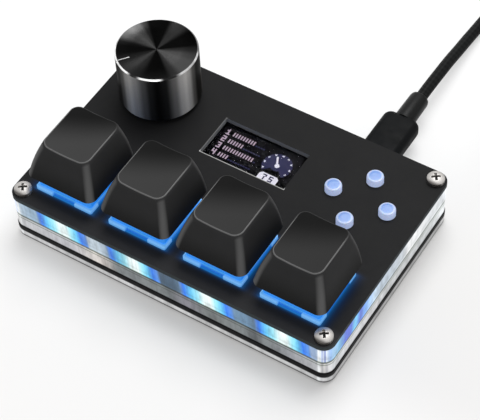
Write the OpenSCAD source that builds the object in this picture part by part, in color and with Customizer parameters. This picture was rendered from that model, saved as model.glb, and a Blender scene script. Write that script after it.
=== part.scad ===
// Desk macro keypad: four sprung keys, a push-and-turn knob, a small display and four
// small round buttons on a sandwich case of plates and clear frames, with its USB cable.
// Frame: X along the key row, Y to the back, Z up. The origin is on the desk, under the
// middle of the case.

/* [Case] */
// Width of the case along the key row
case_w = 81.2; // [79:0.1:110]
// Depth of the case from front to back
case_d = 53; // [52:0.1:80]
// Radius of the case's upright corners
corner_r = 2.8; // [2:0.1:6]
// Thickness of the black top plate
top_t = 1.2; // [1:0.1:2]
// Height of the upper clear frame
upper_t = 4.7; // [4.2:0.1:7]
// Height of the lower clear frame
lower_t = 3.9; // [3.6:0.1:8]
// Thickness of the black bottom plate
bottom_t = 1.2; // [0.8:0.1:2.5]
// Thickness of the clear base plate
base_t = 2; // [1.8:0.1:4]
// How far the feet stand out under the base plate
foot_drop = 0.3; // [0.2:0.1:2]
// Diameter of a foot
foot_d = 8; // [5:0.5:10]
// Distance from the case's sides to a foot's centre
foot_inset = 9; // [8:0.5:12]
// Width of the clear frames' rails
rail_w = 2.4; // [1.8:0.1:3]
// How far the clear frames stand back from the plates' edges
frame_inset = 0.15; // [0:0.05:0.5]
// Distance from the case's sides to a corner screw's centre
screw_inset = 2.6; // [2.4:0.1:4]

/* [Keys] */
// Distance between neighbouring keys
pitch = 19.05; // [18.5:0.05:20]
// Key row's centre line, from the middle of the case
key_y = -14.4; // [-15:0.1:-14]
// Width and depth of a keycap at its skirt
cap_base = 17.5; // [17.2:0.1:18.2]
// Width of a keycap's top face
cap_top_w = 11.9; // [11:0.1:13]
// Depth of a keycap's top face
cap_top_d = 13.4; // [12.4:0.1:13.6]
// How far the top face sits behind the skirt's centre
cap_top_back = 1.4; // [1.2:0.1:1.8]
// Height of a keycap
cap_h = 8.5; // [8.2:0.1:10]
// Wall thickness of a keycap at its skirt
cap_wall = 1.3; // [1:0.1:1.5]
// Thickness of a keycap under its dish
cap_roof = 1.6; // [1.3:0.1:1.9]
// Radius of a keycap's corners at its skirt
cap_corner = 1.8; // [1.2:0.1:2.4]
// Radius of the dish across a keycap's top
dish_r = 36; // [28:1:60]
// Gap between the top plate and a keycap's skirt at rest
cap_gap = 5; // [4.9:0.1:6]
// Travel of a key
key_travel = 3.4; // [2:0.1:3.4]
// Wire diameter of a key spring
spring_wire = 0.32; // [0.25:0.01:0.4]
// Turns of a key spring
spring_turns = 5.5; // [4:0.5:8]

/* [Knob] */
// Knob's centre, from the middle of the case
knob_x = -27.7; // [-29:0.1:-27]
// Knob's centre behind the middle of the case
knob_y = 15; // [14:0.1:16]
// Diameter of the knob
knob_d = 18.6; // [18.4:0.1:21]
// Height of the knob
knob_h = 13.5; // [12.8:0.1:16]
// Gap between the top plate and the knob at rest
knob_gap = 1.1; // [0.9:0.1:2]
// Travel of the knob when it is pushed
push_travel = 0.5; // [0.3:0.05:0.6]
// Bevel round the knob's top edge
knob_bevel = 0.55; // [0.3:0.05:0.8]
// Angle of the knob's pointer line, anticlockwise from +X
pointer_angle = 232; // [0:1:360]

/* [Display] */
// Display window's centre behind the middle of the case
window_y = 10.65; // [10:0.05:11]
// Width of the display window
window_w = 21.6; // [20:0.1:22]
// Depth of the display window
window_d = 11.1; // [10:0.1:11.5]

/* [Buttons] */
// Centre of the button group along the key row
buttons_x = 26.7; // [25:0.1:27]
// Distance from the group's centre to a button's centre
buttons_r = 6.65; // [5:0.05:7]
// Diameter of a small button
button_d = 3.8; // [3.4:0.1:4.4]
// How far a small button stands above the top plate
button_rise = 1.6; // [1:0.1:2]
// Travel of a small button
button_travel = 0.25; // [0.15:0.05:0.35]

/* [Cable] */
// Position of the USB socket along the back
usb_x = 20.5; // [-8:0.1:22]
// Diameter of the cable
cable_d = 2.8; // [2.6:0.1:3]
// Length of the USB-C plug's moulded body
plug_l = 15; // [13:0.5:16]

/* [Hidden] */

// Clearances
fit = 0.05;      // pieces that are pushed together
slip = 0.1;      // pieces that slide
free = 0.2;      // pieces that only pass

// Colours
c_black = [0.09, 0.09, 0.1];
c_clear = [0.8, 0.9, 1, 0.4];
c_lit = [0.45, 0.7, 1];
c_board = [0.08, 0.2, 0.13];
c_steel = [0.78, 0.77, 0.75];
c_brass = [0.8, 0.62, 0.3];
c_white = [0.93, 0.95, 1];
c_rubber = [0.15, 0.15, 0.16];

// Levels, upwards from the desk
base_z = foot_drop;
bottom_z = base_z + base_t;
lower_z = bottom_z + bottom_t;
upper_z = lower_z + lower_t;
plate_z = upper_z + upper_t;
plate_top = plate_z + top_t;

// Circuit board: the switches set its distance under the top plate
switch_depth = 5;
board_t = 1.6;
board_top = plate_top - switch_depth;
board_bottom = board_top - board_t;
cavity_w = case_w - 2 * rail_w;
cavity_d = case_d - 2 * rail_w;
board_gap = 0.3;

// Corner screws, standoffs and feet
screw_x = case_w / 2 - screw_inset;
screw_y = case_d / 2 - screw_inset;
corners = [[-1, -1], [1, -1], [1, 1], [-1, 1]];
shank_r = 0.95;
thread_r = 1;
standoff_r = 1.6;
head_r = 2;
head_h = 1.5;
recess_w = 0.55;
recess_l = 2.1;
top_screw_l = 4;
bottom_head_r = 1.9;
bottom_head_h = 1.1;
bottom_screw_l = 5;
boss_r = 3.3;
foot_pocket = 0.8;

// Switches
switch_w = 13.9;
flange_w = 14.6;
flange_d = 15.2;
flange_h = 1;
flange_r = 0.5;
ear_w = 4.4;
ear_d = 2.9;
notch_front = 0.8;
notch_side = 0.35;
peg_r = 1.95;
peg_l = 3.3;
well_w = 9.4;
well_d = 7.4;
well_floor = 1.1;
slider_w = 8.6;
slider_d = 6.6;
slider_low = 1.7;
slider_top = 5.3;
neck_w = 7;
neck_d = 5.4;
neck_top = 6.6;
cover_top = 6.4;
cover_w = 10.6;
cover_d = 8.4;
cover_roof = 1;
pole_r = 1.1;
pole_low = -1.6;
cross_l = 4;
cross_x = 1.3;
cross_y = 1.15;
cross_h = 3.6;
boss_cap_r = 2.75;
spring_r = 2;
led_y = -5.2;
led_w = 3.4;
led_d = 2.7;
led_h = 1.3;

// Knob and encoder
bushing_r = 3.5;
shaft_r = 3;
shaft_fit = 0.06;
encoder_w = 11.7;
encoder_d = 12;
encoder_r = 1;
encoder_rise = 1.5;
bushing_h = 5;
shaft_rise = 10;
flat_x = 1.5;
rotor_r = 4.4;
rotor_t = 1;
stub_r = 1.5;
knob_z = plate_top + knob_gap;
knob_top = knob_z + knob_h;
encoder_top = plate_top + encoder_rise;
skirt_wall = 0.95;
skirt_depth = 2.2;
pointer_l = 3.4;
pointer_w = 0.6;
pointer_deep = 0.4;
grub_r = 1.5;

// Display
panel_w = 24.7;
panel_d = 16.6;
panel_t = 1.4;
panel_back = 0.8;
screen_t = 0.1;
lens_t = 0.2;

// Small buttons
button_places = [[-1, 0], [0, 1], [0, -1], [1, 0]];
button_flange = 0.6;
tact_w = 4.4;
tact_top = plate_z - button_flange - 0.9;
actuator_r = 1;

// USB socket and plug
socket_w = 8.94;
socket_h = 3.16;
socket_l = 7.2;
socket_wall = 0.27;
socket_back = 0.3;
usb_z = board_bottom - socket_h / 2;
shell_w = 8.25;
shell_h = 2.4;
plug_w = 9;
plug_h = 4.8;
plug_r = 2;
plug_y = case_d / 2 + 0.4;
boot_y = plug_y + plug_l;
boot_l = 8.1;
boot_r1 = 2.2;
boot_r2 = 2.05;

// Free cable: X and Y from its exit, then its height as a share of the exit's and a rest
cable_start = boot_y + boot_l;
cable_points = [
  [0, 0.05, 1, 0], [0, 4, 1, 0], [0, 9, 0.95, 0], [-0.1, 14, 0.8, 0.2], [-0.2, 19, 0.5, 0.8],
  [-0.3, 24, 0.3, 1], [-0.3, 29, 0.1, 1.3], [-0.1, 34, 0, 1.5], [0.5, 39, 0, 1.5],
  [1.5, 44, 0, 1.7], [2, 48, 0, 2.1], [2.1, 52, 0, 2.1], [2.1, 55.1, 0, 2.1]
];
cable_route = [for (p = cable_points)
  [usb_x + p[0], cable_start + p[1], p[2] * usb_z + p[3]]];
coil_x = usb_x + 23.5;
coil_y = cable_start + 58;
coil_z = 2.1;
coil_mid_r = 15.625;
coil_step = 3.3;
coil_layers = 4;
layer_turns = 3.5;
coil_start = 180;
coil_rings = 24;
// Tail: X and Y from the coil's centre, and height
tail_points = [
  [-21.4, 2.9, 12], [-21.35, 7, 11.9], [-20.2, 13, 11.2], [-16.8, 19, 10.3],
  [-11.2, 23.4, 9.3], [-4, 25.6, 8.3], [4, 25.3, 7.3], [11.2, 22.6, 6.3],
  [17.2, 18.2, 5.4], [21.8, 12.4, 4.5], [24.6, 6, 3.9], [25.3, 0, 3.7],
  [25.3, -5, 3.7], [25.3, -9, 3.7]
];
tail_route = [for (p = tail_points) p + [coil_x, coil_y, 0]];
tie_w = 10;
tie_shift = 0.6;
tie_t = 0.6;

// USB-A plug at the far end
a_body_w = 15.4;
a_body_h = 7.4;
a_body_l = 20;
a_boot_l = 8;
a_shell_w = 12;
a_shell_h = 4.5;
a_shell_l = 12;
a_shell_wall = 0.35;
a_window = 2.2;
a_end = tail_route[len(tail_route) - 1];

// ---------- shared outlines and places ----------

// Outline of a rectangle with round corners, as true arcs
module round_outline(w, d, r) {
  square([w - 2 * r, d], center = true);
  square([w, d - 2 * r], center = true);
  for (x = [-1, 1], y = [-1, 1])
    translate([x * (w / 2 - r), y * (d / 2 - r)]) circle(r = r, $fn = 32);
}

module slab(w, d, r, z, t) {
  translate([0, 0, z]) linear_extrude(t) round_outline(w, d, r);
}

module centred_block(w, d, z, h) {
  translate([-w / 2, -d / 2, z]) cube([w, d, h]);
}

function key_x(i) = (i - 1.5) * pitch;

module at_key(i) {
  translate([key_x(i), key_y, plate_top]) children();
}

module at_knob() {
  translate([knob_x, knob_y, 0]) children();
}

module at_button(i) {
  p = button_places[i];
  translate([buttons_x + buttons_r * p[0], window_y + buttons_r * p[1], 0]) children();
}

module at_corners() {
  for (c = corners) translate([c[0] * screw_x, c[1] * screw_y, 0]) children();
}

module at_feet() {
  for (c = corners)
    translate([c[0] * (case_w / 2 - foot_inset), c[1] * (case_d / 2 - foot_inset), 0])
      children();
}

module drill(r, z, h) {
  translate([0, 0, z]) cylinder(r = r, h = h, $fn = 32);
}

// ---------- swept tubes ----------

function unit(v) = v / norm(v);

// Direction of a path at point i
function heading(path, i) =
  unit(path[min(i + 1, len(path) - 1)] - path[max(i - 1, 0)]);

// A ring of points round a path whose heading is never upright
function ring(centre, dir, r, sides) =
  let (side = unit(cross([0, 0, 1], dir)), up = cross(dir, side))
  [for (k = [0 : sides - 1])
    let (a = 360 * (k + 0.5) / sides) centre + r * (cos(a) * side + sin(a) * up)];

module tube(path, r, sides) {
  last = len(path) - 1;
  points = [for (i = [0 : last]) each ring(path[i], heading(path, i), r, sides)];
  walls = [for (i = [0 : last - 1], k = [0 : sides - 1])
    let (a = i * sides + k, b = i * sides + (k + 1) % sides)
    each [[a, b, b + sides], [a, b + sides, a + sides]]];
  end = last * sides;
  first_end = [for (k = [1 : sides - 2]) [0, k + 1, k]];
  last_end = [for (k = [1 : sides - 2]) [end, end + k, end + k + 1]];
  polyhedron(points = points, faces = concat(walls, first_end, last_end), convexity = 10);
}

// Smooth path through a route's points, with one point between each two
function smooth(route) =
  let (n = len(route) - 1)
  [for (i = [0 : n - 1]) each [
    route[i],
    (9 * (route[i] + route[i + 1]) - route[max(i - 1, 0)] - route[min(i + 2, n)]) / 16
      + (i == 0 ? (route[1] - route[0]) / 16 : [0, 0, 0])
      + (i == n - 1 ? (route[n - 1] - route[n]) / 16 : [0, 0, 0])
  ], route[n]];

// ---------- case ----------

module top_plate() {
  color(c_black) difference() {
    slab(case_w, case_d, corner_r, plate_z, top_t);
    for (i = [0 : 3])
      translate([key_x(i), key_y, 0])
        centred_block(switch_w + slip, switch_w + slip, plate_z - 1, top_t + 2);
    translate([0, window_y, 0]) centred_block(window_w, window_d, plate_z - 1, top_t + 2);
    at_knob()
      centred_block(encoder_w + 2 * free, encoder_d + 2 * free, plate_z - 1, top_t + 2);
    for (i = [0 : 3]) at_button(i) drill(button_d / 2 + slip, plate_z - 1, top_t + 2);
    at_corners() drill(thread_r + slip, plate_z - 1, top_t + 2);
  }
}

// Clear frame: an open rail with a solid corner round each standoff
module frame_rail(z, t) {
  difference() {
    slab(case_w - 2 * frame_inset, case_d - 2 * frame_inset, corner_r - frame_inset, z, t);
    translate([0, 0, z - 1]) linear_extrude(t + 2) difference() {
      square([cavity_w, cavity_d], center = true);
      for (c = corners) translate([c[0] * screw_x, c[1] * screw_y]) circle(r = boss_r, $fn = 48);
    }
    at_corners() drill(standoff_r + fit, z - 1, t + 2);
  }
}

module upper_spacer() {
  color(c_clear) frame_rail(upper_z, upper_t);
}

module lower_spacer() {
  color(c_clear) difference() {
    frame_rail(lower_z, lower_t);
    translate([usb_x, case_d / 2 - rail_w, 0])
      centred_block(socket_w + 2 * free, 4 * rail_w, lower_z - 1, lower_t + 2);
  }
}

module bottom_plate() {
  color(c_black) difference() {
    slab(case_w, case_d, corner_r, bottom_z, bottom_t);
    at_corners() drill(thread_r + slip, bottom_z - 1, bottom_t + 2);
  }
}

module base_plate() {
  color(c_clear) difference() {
    slab(case_w, case_d, corner_r, base_z, base_t);
    at_corners() drill(thread_r + slip, base_z - 1, base_t + 2);
    at_corners() drill(bottom_head_r + slip, base_z - 1, bottom_head_h + 1);
    at_feet() drill(foot_d / 2 + fit, base_z - 1, foot_pocket + 1);
  }
}

module standoffs() {
  color(c_brass) at_corners() difference() {
    drill(standoff_r, lower_z, lower_t + upper_t);
    drill(thread_r, lower_z - 1, lower_t + upper_t + 2);
  }
}

// Pan-head screw with a cross recess, its head's seat at z = 0 and its shank below
module pan_screw(l) {
  difference() {
    union() {
      rotate_extrude($fn = 48) intersection() {
        translate([0, head_h - 3.4]) circle(r = 3.4, $fn = 96);
        union() {
          square([head_r, head_h]);
          translate([0, -l]) square([shank_r, l]);
        }
      }
      translate([0, 0, -l]) cylinder(r = shank_r, h = l + 0.2, $fn = 32);
    }
    for (a = [0, 90]) rotate([0, 0, a])
      centred_block(recess_l, recess_w, head_h - 0.8, 1);
  }
}

module top_screws() {
  color(c_steel) at_corners() translate([0, 0, plate_top]) rotate([0, 0, 35])
    pan_screw(top_screw_l);
}

module bottom_screws() {
  color(c_steel) at_corners() difference() {
    union() {
      drill(bottom_head_r, base_z, bottom_head_h);
      drill(shank_r, base_z, bottom_head_h + bottom_screw_l);
    }
    for (a = [0, 90]) rotate([0, 0, a])
      centred_block(recess_l, recess_w, base_z - 0.4, 1);
  }
}

module rubber_feet() {
  color(c_rubber) at_feet() rotate_extrude($fn = 48)
    polygon([[0, 0], [foot_d / 2 - 0.4, 0], [foot_d / 2, 0.25],
      [foot_d / 2, base_z + foot_pocket], [0, base_z + foot_pocket]]);
}

module circuit_board() {
  color(c_board) difference() {
    translate([0, 0, board_bottom]) linear_extrude(board_t) difference() {
      square([cavity_w - 2 * board_gap, cavity_d - 2 * board_gap], center = true);
      for (c = corners)
        translate([c[0] * screw_x, c[1] * screw_y]) circle(r = boss_r + board_gap, $fn = 48);
    }
    for (i = [0 : 3]) at_key(i) drill(peg_r + fit, -switch_depth - board_t - 1, board_t + 2);
  }
}

module board_chips() {
  color(c_black) {
    translate([4, 4, 0]) centred_block(7, 7, board_bottom - 0.9, 0.9);
    translate([-8, 8, 0]) centred_block(5, 4, board_bottom - 1.2, 1.2);
    translate([11, 12, 0]) centred_block(3, 1.8, board_bottom - 1, 1);
  }
}

// ---------- keys ----------

// Flange that rests on the plate: four corner ears joined by set-back sides
module flange_outline() {
  difference() {
    round_outline(flange_w, flange_d, flange_r);
    for (s = [-1, 1]) {
      translate([0, s * flange_d / 2])
        square([flange_w - 2 * ear_w, 2 * notch_front], center = true);
      translate([s * flange_w / 2, 0])
        square([2 * notch_side, flange_d - 2 * ear_d], center = true);
    }
  }
}

module switch_base(i) {
  color(c_clear) at_key(i) difference() {
    union() {
      centred_block(switch_w, switch_w, -switch_depth, switch_depth);
      linear_extrude(flange_h) flange_outline();
      drill(peg_r, -switch_depth - peg_l, peg_l);
    }
    centred_block(well_w, well_d, well_floor - switch_depth, switch_depth + flange_h);
    drill(pole_r + free, pole_low - key_travel - 0.4, switch_depth);
    translate([0, led_y, 0])
      centred_block(led_w + 2 * free, led_d + 2 * free, -switch_depth - 1, led_h + free + 1);
  }
}

module switch_cover(i) {
  color(c_clear) at_key(i) difference() {
    hull() {
      translate([0, 0, flange_h]) linear_extrude(0.4) round_outline(13.8, 13.8, 0.6);
      translate([0, 0, cover_top - 0.2]) linear_extrude(0.2)
        round_outline(cover_w, cover_d, 1);
    }
    centred_block(well_w, well_d, flange_h - 1, cover_top - cover_roof - flange_h + 1);
    centred_block(neck_w + 2 * slip, boss_cap_r * 2 + 2 * slip, flange_h, cover_top);
  }
}

module stem(i) {
  color(c_white) at_key(i) {
    centred_block(slider_w, slider_d, slider_low, slider_top - slider_low);
    centred_block(neck_w, neck_d, slider_top, neck_top - slider_top);
    centred_block(cross_l, cross_y, neck_top, cross_h);
    centred_block(cross_x, cross_l, neck_top, cross_h);
    drill(pole_r, pole_low, slider_low - pole_low);
  }
}

// Compression spring between the switch's floor and the slider
module key_spring(i) {
  low = well_floor - switch_depth + spring_wire / 2 + fit;
  high = slider_low - spring_wire / 2 - fit;
  steps = spring_turns * 8;
  path = [for (k = [0 : steps])
    let (a = k * 45) [spring_r * cos(a), spring_r * sin(a), low + (high - low) * k / steps]];
  color(c_steel) at_key(i) tube(path, spring_wire / 2, 6);
}

// One level of a keycap: f runs from 0 at the skirt to 1 at the top
module cap_level(f, swell, wall, roof_z) {
  w = cap_base + (cap_top_w - cap_base) * f + swell - 2 * wall;
  d = cap_base + (cap_top_d - cap_base) * f + swell - 2 * wall;
  translate([0, cap_top_back * f, f * roof_z]) linear_extrude(0.01)
    round_outline(w, d, cap_corner - 0.5 * f);
}

module keycap(i) {
  inner_z = cap_h - cap_roof;
  color(c_black) at_key(i) translate([0, 0, cap_gap]) difference() {
    hull() for (f = [0, 0.25, 0.6, 0.85, 1])
      cap_level(f, 0.5 * sin(180 * f), 0, cap_h - 0.01);
    hull() {
      translate([0, 0, -0.02]) cap_level(0, 0, cap_wall, inner_z);
      cap_level(1, 0, cap_wall - 0.35, inner_z);
    }
    translate([0, cap_top_back + cap_base, cap_h + dish_r - 0.45]) rotate([90, 0, 0])
      cylinder(r = dish_r, h = 2 * cap_base, $fn = 180);
  }
  color(c_black) at_key(i) difference() {
    drill(boss_cap_r, neck_top + fit, cap_gap + inner_z - neck_top);
    centred_block(cross_l + 2 * fit, cross_y + 2 * fit, neck_top, cross_h + 2 * fit);
    centred_block(cross_x + 2 * fit, cross_l + 2 * fit, neck_top, cross_h + 2 * fit);
  }
}

module leds() {
  color(c_lit) {
    for (i = [0 : 3]) at_key(i) translate([0, led_y, 0])
      centred_block(led_w, led_d, -switch_depth, led_h);
    translate([buttons_x, window_y, 0]) centred_block(led_w, led_w, board_top, led_h);
  }
}

// ---------- display ----------

module display_panel() {
  color(c_black) translate([0, window_y + panel_back, 0])
    slab(panel_w, panel_d, 0.4, plate_z - panel_t, panel_t);
}

module display_screen() {
  color(c_lit) translate([0, window_y, 0])
    centred_block(window_w - 2 * free, window_d - 2 * free, plate_z, screen_t);
}

module display_lens() {
  color(c_clear) translate([0, window_y, 0])
    slab(window_w - 2 * slip, window_d - 2 * slip, 0.2, plate_z + screen_t, lens_t);
}

module display_pad() {
  color(c_rubber) translate([0, window_y + panel_back, 0])
    slab(panel_w - 6, panel_d - 6, 1, board_top, plate_z - panel_t - board_top);
}

// Ribbon that folds from behind the panel down to the board
module display_flex() {
  ribbon = 0.2;
  y0 = window_y + panel_back + panel_d / 2;
  drop = plate_z - panel_t - board_top;
  color(c_brass) translate([-6, y0, board_top]) rotate([90, 0, 90]) linear_extrude(12)
    difference() {
      union() {
        translate([0, drop / 2]) circle(r = drop / 2, $fn = 48);
        translate([-2.6, drop - ribbon]) square([2.6, ribbon]);
        translate([-2.6, 0]) square([2.6, ribbon]);
      }
      translate([0, drop / 2]) circle(r = drop / 2 - ribbon, $fn = 48);
      translate([-2.6, ribbon]) square([2.6, drop - 2 * ribbon]);
    }
}

// ---------- knob and encoder ----------

module encoder_body() {
  cavity_low = board_top + 0.8;
  cavity_top = plate_top - 0.1;
  color(c_steel) at_knob() difference() {
    slab(encoder_w, encoder_d, encoder_r, board_top, encoder_top - board_top);
    drill(rotor_r + free, cavity_low, cavity_top - cavity_low);
    drill(shaft_r + shaft_fit, cavity_low, encoder_top);
  }
}

module encoder_bushing() {
  color(c_brass) at_knob() difference() {
    drill(bushing_r, encoder_top, bushing_h);
    drill(shaft_r + shaft_fit, encoder_top - 1, bushing_h + 2);
  }
}

rotor_z = plate_top - 1.2;
stub_z = rotor_z - 1.2;
plunger_t = 1;

module encoder_plunger() {
  color(c_black) at_knob() drill(2.4, stub_z - 0.02 - plunger_t, plunger_t);
}

module encoder_shaft() {
  top = encoder_top + shaft_rise;
  color(c_steel) at_knob() difference() {
    union() {
      drill(shaft_r, rotor_z, top - rotor_z);
      drill(rotor_r, rotor_z, rotor_t);
      drill(stub_r, stub_z, rotor_z - stub_z);
    }
    rotate([0, 0, pointer_angle]) translate([flat_x, -shaft_r, encoder_top + bushing_h + 0.5])
      cube([shaft_r, 2 * shaft_r, shaft_rise]);
  }
}

// Round pointer slot at the knob's rim, opened outwards
module pointer_block(w, deep) {
  rotate([0, 0, pointer_angle])
    translate([knob_d / 2 - knob_bevel - pointer_l, -w / 2, knob_top - deep])
      cube([pointer_l - 0.35, w, deep]);
}

module knob() {
  r = knob_d / 2;
  bore_top = encoder_top + shaft_rise + slip;
  bushing_room = encoder_top + bushing_h + push_travel + free;
  color(c_black) at_knob() difference() {
    rotate_extrude($fn = 96) polygon([
      [0, knob_z], [r - 0.25, knob_z], [r, knob_z + 0.25],
      [r, knob_top - knob_bevel], [r - knob_bevel, knob_top], [0, knob_top]]);
    drill(r - skirt_wall, knob_z - 1, skirt_depth + 1);
    drill(bushing_r + 0.3, knob_z, bushing_room - knob_z);
    difference() {
      drill(shaft_r + fit, knob_z, bore_top - knob_z);
      rotate([0, 0, pointer_angle]) translate([flat_x + fit, -r, bushing_room])
        cube([r, 2 * r, knob_h]);
    }
    rotate([0, 0, pointer_angle]) translate([0, 0, bushing_room + 2]) rotate([0, 90, 0])
      cylinder(r = grub_r, h = r + 1, $fn = 32);
    pointer_block(pointer_w + 2 * fit, pointer_deep);
  }
}

module knob_pointer() {
  color(c_white) at_knob() pointer_block(pointer_w, pointer_deep - fit);
}

module knob_screw() {
  z = encoder_top + bushing_h + push_travel + free + 2;
  color(c_steel) at_knob() rotate([0, 0, pointer_angle])
    translate([flat_x + fit, 0, z]) rotate([0, 90, 0]) difference() {
      cylinder(r = grub_r - fit, h = 4, $fn = 32);
      translate([0, 0, 3]) cylinder(r = 0.75, h = 2, $fn = 6);
    }
}

// ---------- small buttons ----------

module button(i) {
  r = button_d / 2;
  color(c_white) at_button(i) {
    rotate_extrude($fn = 48) polygon([
      [0, plate_z - 0.05 - button_flange], [r + 0.5, plate_z - 0.05 - button_flange],
      [r + 0.5, plate_z - 0.05], [r, plate_z - 0.05],
      [r, plate_top + button_rise - 0.25], [r - 0.25, plate_top + button_rise],
      [0, plate_top + button_rise]]);
    drill(actuator_r, tact_top - 0.6, plate_z - button_flange - tact_top + 0.6);
  }
}

module button_switches() {
  color(c_rubber) for (i = [0 : 3]) at_button(i) difference() {
    centred_block(tact_w, tact_w, board_top, tact_top - board_top);
    drill(actuator_r + slip, tact_top - 1.2, 2);
  }
}

// ---------- USB socket and plug ----------

// Outline of a USB-C section: flat with round ends
module usb_outline(w, h) {
  square([w - h, h], center = true);
  for (s = [-1, 1]) translate([s * (w - h) / 2, 0]) circle(r = h / 2, $fn = 48);
}

module along_y(x, y, z, l) {
  translate([x, y + l, z]) rotate([90, 0, 0]) linear_extrude(l) children();
}

module usb_socket() {
  y0 = case_d / 2 - socket_back - socket_l;
  color(c_steel) {
    difference() {
      along_y(usb_x, y0, usb_z, socket_l) usb_outline(socket_w, socket_h);
      along_y(usb_x, y0 + 0.8, usb_z, socket_l)
        usb_outline(socket_w - 2 * socket_wall, socket_h - 2 * socket_wall);
    }
    along_y(usb_x, y0 + 0.5, usb_z, 5.2) square([6.6, 0.7], center = true);
  }
}

module plug_shell() {
  color(c_steel) difference() {
    along_y(usb_x, plug_y - 6.4, usb_z, 6.4 + 2) usb_outline(shell_w, shell_h);
    along_y(usb_x, plug_y - 6.5, usb_z, 5.6) usb_outline(shell_w - 0.5, shell_h - 0.5);
  }
}

module plug_body() {
  color(c_black) difference() {
    hull() {
      along_y(usb_x, plug_y, usb_z, plug_l - 1.5) round_outline(plug_w, plug_h, plug_r);
      along_y(usb_x, plug_y, usb_z, plug_l) round_outline(plug_w - 2.4, plug_h - 0.6, 1.8);
    }
    along_y(usb_x, plug_y - 1, usb_z, 1 + 2) usb_outline(shell_w, shell_h);
  }
}

// Slightly tapered strain relief with an eased end
module plug_boot() {
  ease = 0.5;
  color(c_rubber) translate([usb_x, boot_y, usb_z]) rotate([-90, 0, 0]) rotate_extrude($fn = 48)
    polygon([[0, 0], [boot_r1, 0], [boot_r2, boot_l - ease], [boot_r2 - ease, boot_l],
      [0, boot_l]]);
}

// ---------- cable ----------

module cable() {
  color(c_rubber) tube(smooth(cable_route), cable_d / 2, 8);
}

coil_turns = coil_layers * layer_turns;

// The coil's radius runs in and out again by one step a turn
function coil_r(t) =
  let (u = t % (2 * layer_turns), v = u < layer_turns ? u : 2 * layer_turns - u)
  coil_mid_r + coil_step * (layer_turns / 2 - v);

// It climbs one layer in the half turn round each reversal
function coil_up(t) =
  let (k = round(t / layer_turns), near = t - k * layer_turns)
  k < 1 || k > coil_layers - 1 ? (k < 1 ? 0 : coil_layers - 1)
    : k - 1 + min(1, max(0, near * 2 + 0.5));

function coil_point(t) =
  let (a = coil_start - 360 * t)
  [coil_x + coil_r(t) * cos(a), coil_y + coil_r(t) * sin(a), coil_z + coil_step * coil_up(t)];

coil_path = concat(
  [coil_point(0) - [0, cable_d, 0]],
  [for (k = [0 : coil_turns * coil_rings]) coil_point(k / coil_rings)],
  [coil_point(coil_turns) + [0, cable_d, 0]]);

// Least distance between turns, measured on the path's points, less the cable
coil_gap = min([for (i = [0 : 2 : len(coil_path) - 1])
  for (j = [i + coil_rings / 2 : 1 : len(coil_path) - 1])
    norm(coil_path[i] - coil_path[j])]) - cable_d;
echo(coil_gap = coil_gap);

// Length of a path, and of all the cable between the two plugs
function path_length(path) =
  let (n = len(path) - 1)
  [for (i = 0, sum = 0; i <= n; sum = sum + (i < n ? norm(path[i + 1] - path[i]) : 0), i = i + 1)
    if (i == n) sum][0];
cable_length = path_length(smooth(cable_route)) + path_length(coil_path)
  + path_length(smooth(tail_route));
echo(cable_length = cable_length);

module cable_coil() {
  color(c_rubber) tube(coil_path, cable_d / 2, 6);
}

module cable_tail() {
  color(c_rubber) tube(smooth(tail_route), cable_d / 2, 8);
}

// Strap round the coil's turns
module cable_tie() {
  deep = coil_step * layer_turns + cable_d + 1;
  high = coil_step * (coil_layers - 1) + cable_d + 0.2;
  mid_z = coil_z + coil_step * (coil_layers - 1) / 2;
  color(c_black) translate([coil_x - tie_w / 2, coil_y - coil_mid_r + tie_shift, mid_z])
    rotate([90, 0, 90]) linear_extrude(tie_w) difference() {
      round_outline(deep + 2 * tie_t, high + 2 * tie_t, 2);
      round_outline(deep, high, 2 - tie_t);
    }
}

module at_far_end() {
  translate(a_end) rotate([0, 0, 180]) children();
}

module usb_a_body() {
  color(c_black) at_far_end() difference() {
    union() {
      rotate([-90, 0, 0]) cylinder(r1 = 2, r2 = 3, h = a_boot_l, $fn = 48);
      along_y(0, a_boot_l, 0, a_body_l) round_outline(a_body_w, a_body_h, 1.6);
    }
    along_y(0, a_boot_l + a_body_l - 3, 0, 4) square([a_shell_w, a_shell_h], center = true);
  }
}

module usb_a_shell() {
  y0 = a_boot_l + a_body_l - 3;
  color(c_steel) at_far_end() difference() {
    along_y(0, y0, 0, a_shell_l + 3) square([a_shell_w, a_shell_h], center = true);
    along_y(0, y0 + 3, 0, a_shell_l + 1)
      square([a_shell_w - 2 * a_shell_wall, a_shell_h - 2 * a_shell_wall], center = true);
    for (s = [-1, 1]) translate([s * a_shell_w / 4, y0 + 3 + a_shell_l / 2, 0])
      centred_block(a_window, a_window, 0, a_shell_h);
  }
  color(c_white) at_far_end()
    translate([0, 0, -0.9]) along_y(0, y0 + 2.9, 0, a_shell_l - 0.5)
      square([a_shell_w - 2, 1.6], center = true);
}

// ---------- what is drawn ----------

top_plate();
upper_spacer();
lower_spacer();
circuit_board();
bottom_plate();
base_plate();
top_screws();
standoffs();
bottom_screws();
rubber_feet();
switch_base(0);  // switch_base_1
switch_base(1);  // switch_base_2
switch_base(2);  // switch_base_3
switch_base(3);  // switch_base_4
switch_cover(0);  // switch_cover_1
switch_cover(1);  // switch_cover_2
switch_cover(2);  // switch_cover_3
switch_cover(3);  // switch_cover_4
stem(0);  // stem_1
stem(1);  // stem_2
stem(2);  // stem_3
stem(3);  // stem_4
key_spring(0);  // key_spring_1
key_spring(1);  // key_spring_2
key_spring(2);  // key_spring_3
key_spring(3);  // key_spring_4
keycap(0);  // keycap_1
keycap(1);  // keycap_2
keycap(2);  // keycap_3
keycap(3);  // keycap_4
leds();
board_chips();
display_panel();
display_screen();
display_lens();
display_pad();
display_flex();
encoder_body();
encoder_bushing();
encoder_plunger();
encoder_shaft();
knob();
knob_pointer();
knob_screw();
button(0);  // button_1
button(1);  // button_2
button(2);  // button_3
button(3);  // button_4
button_switches();
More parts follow.
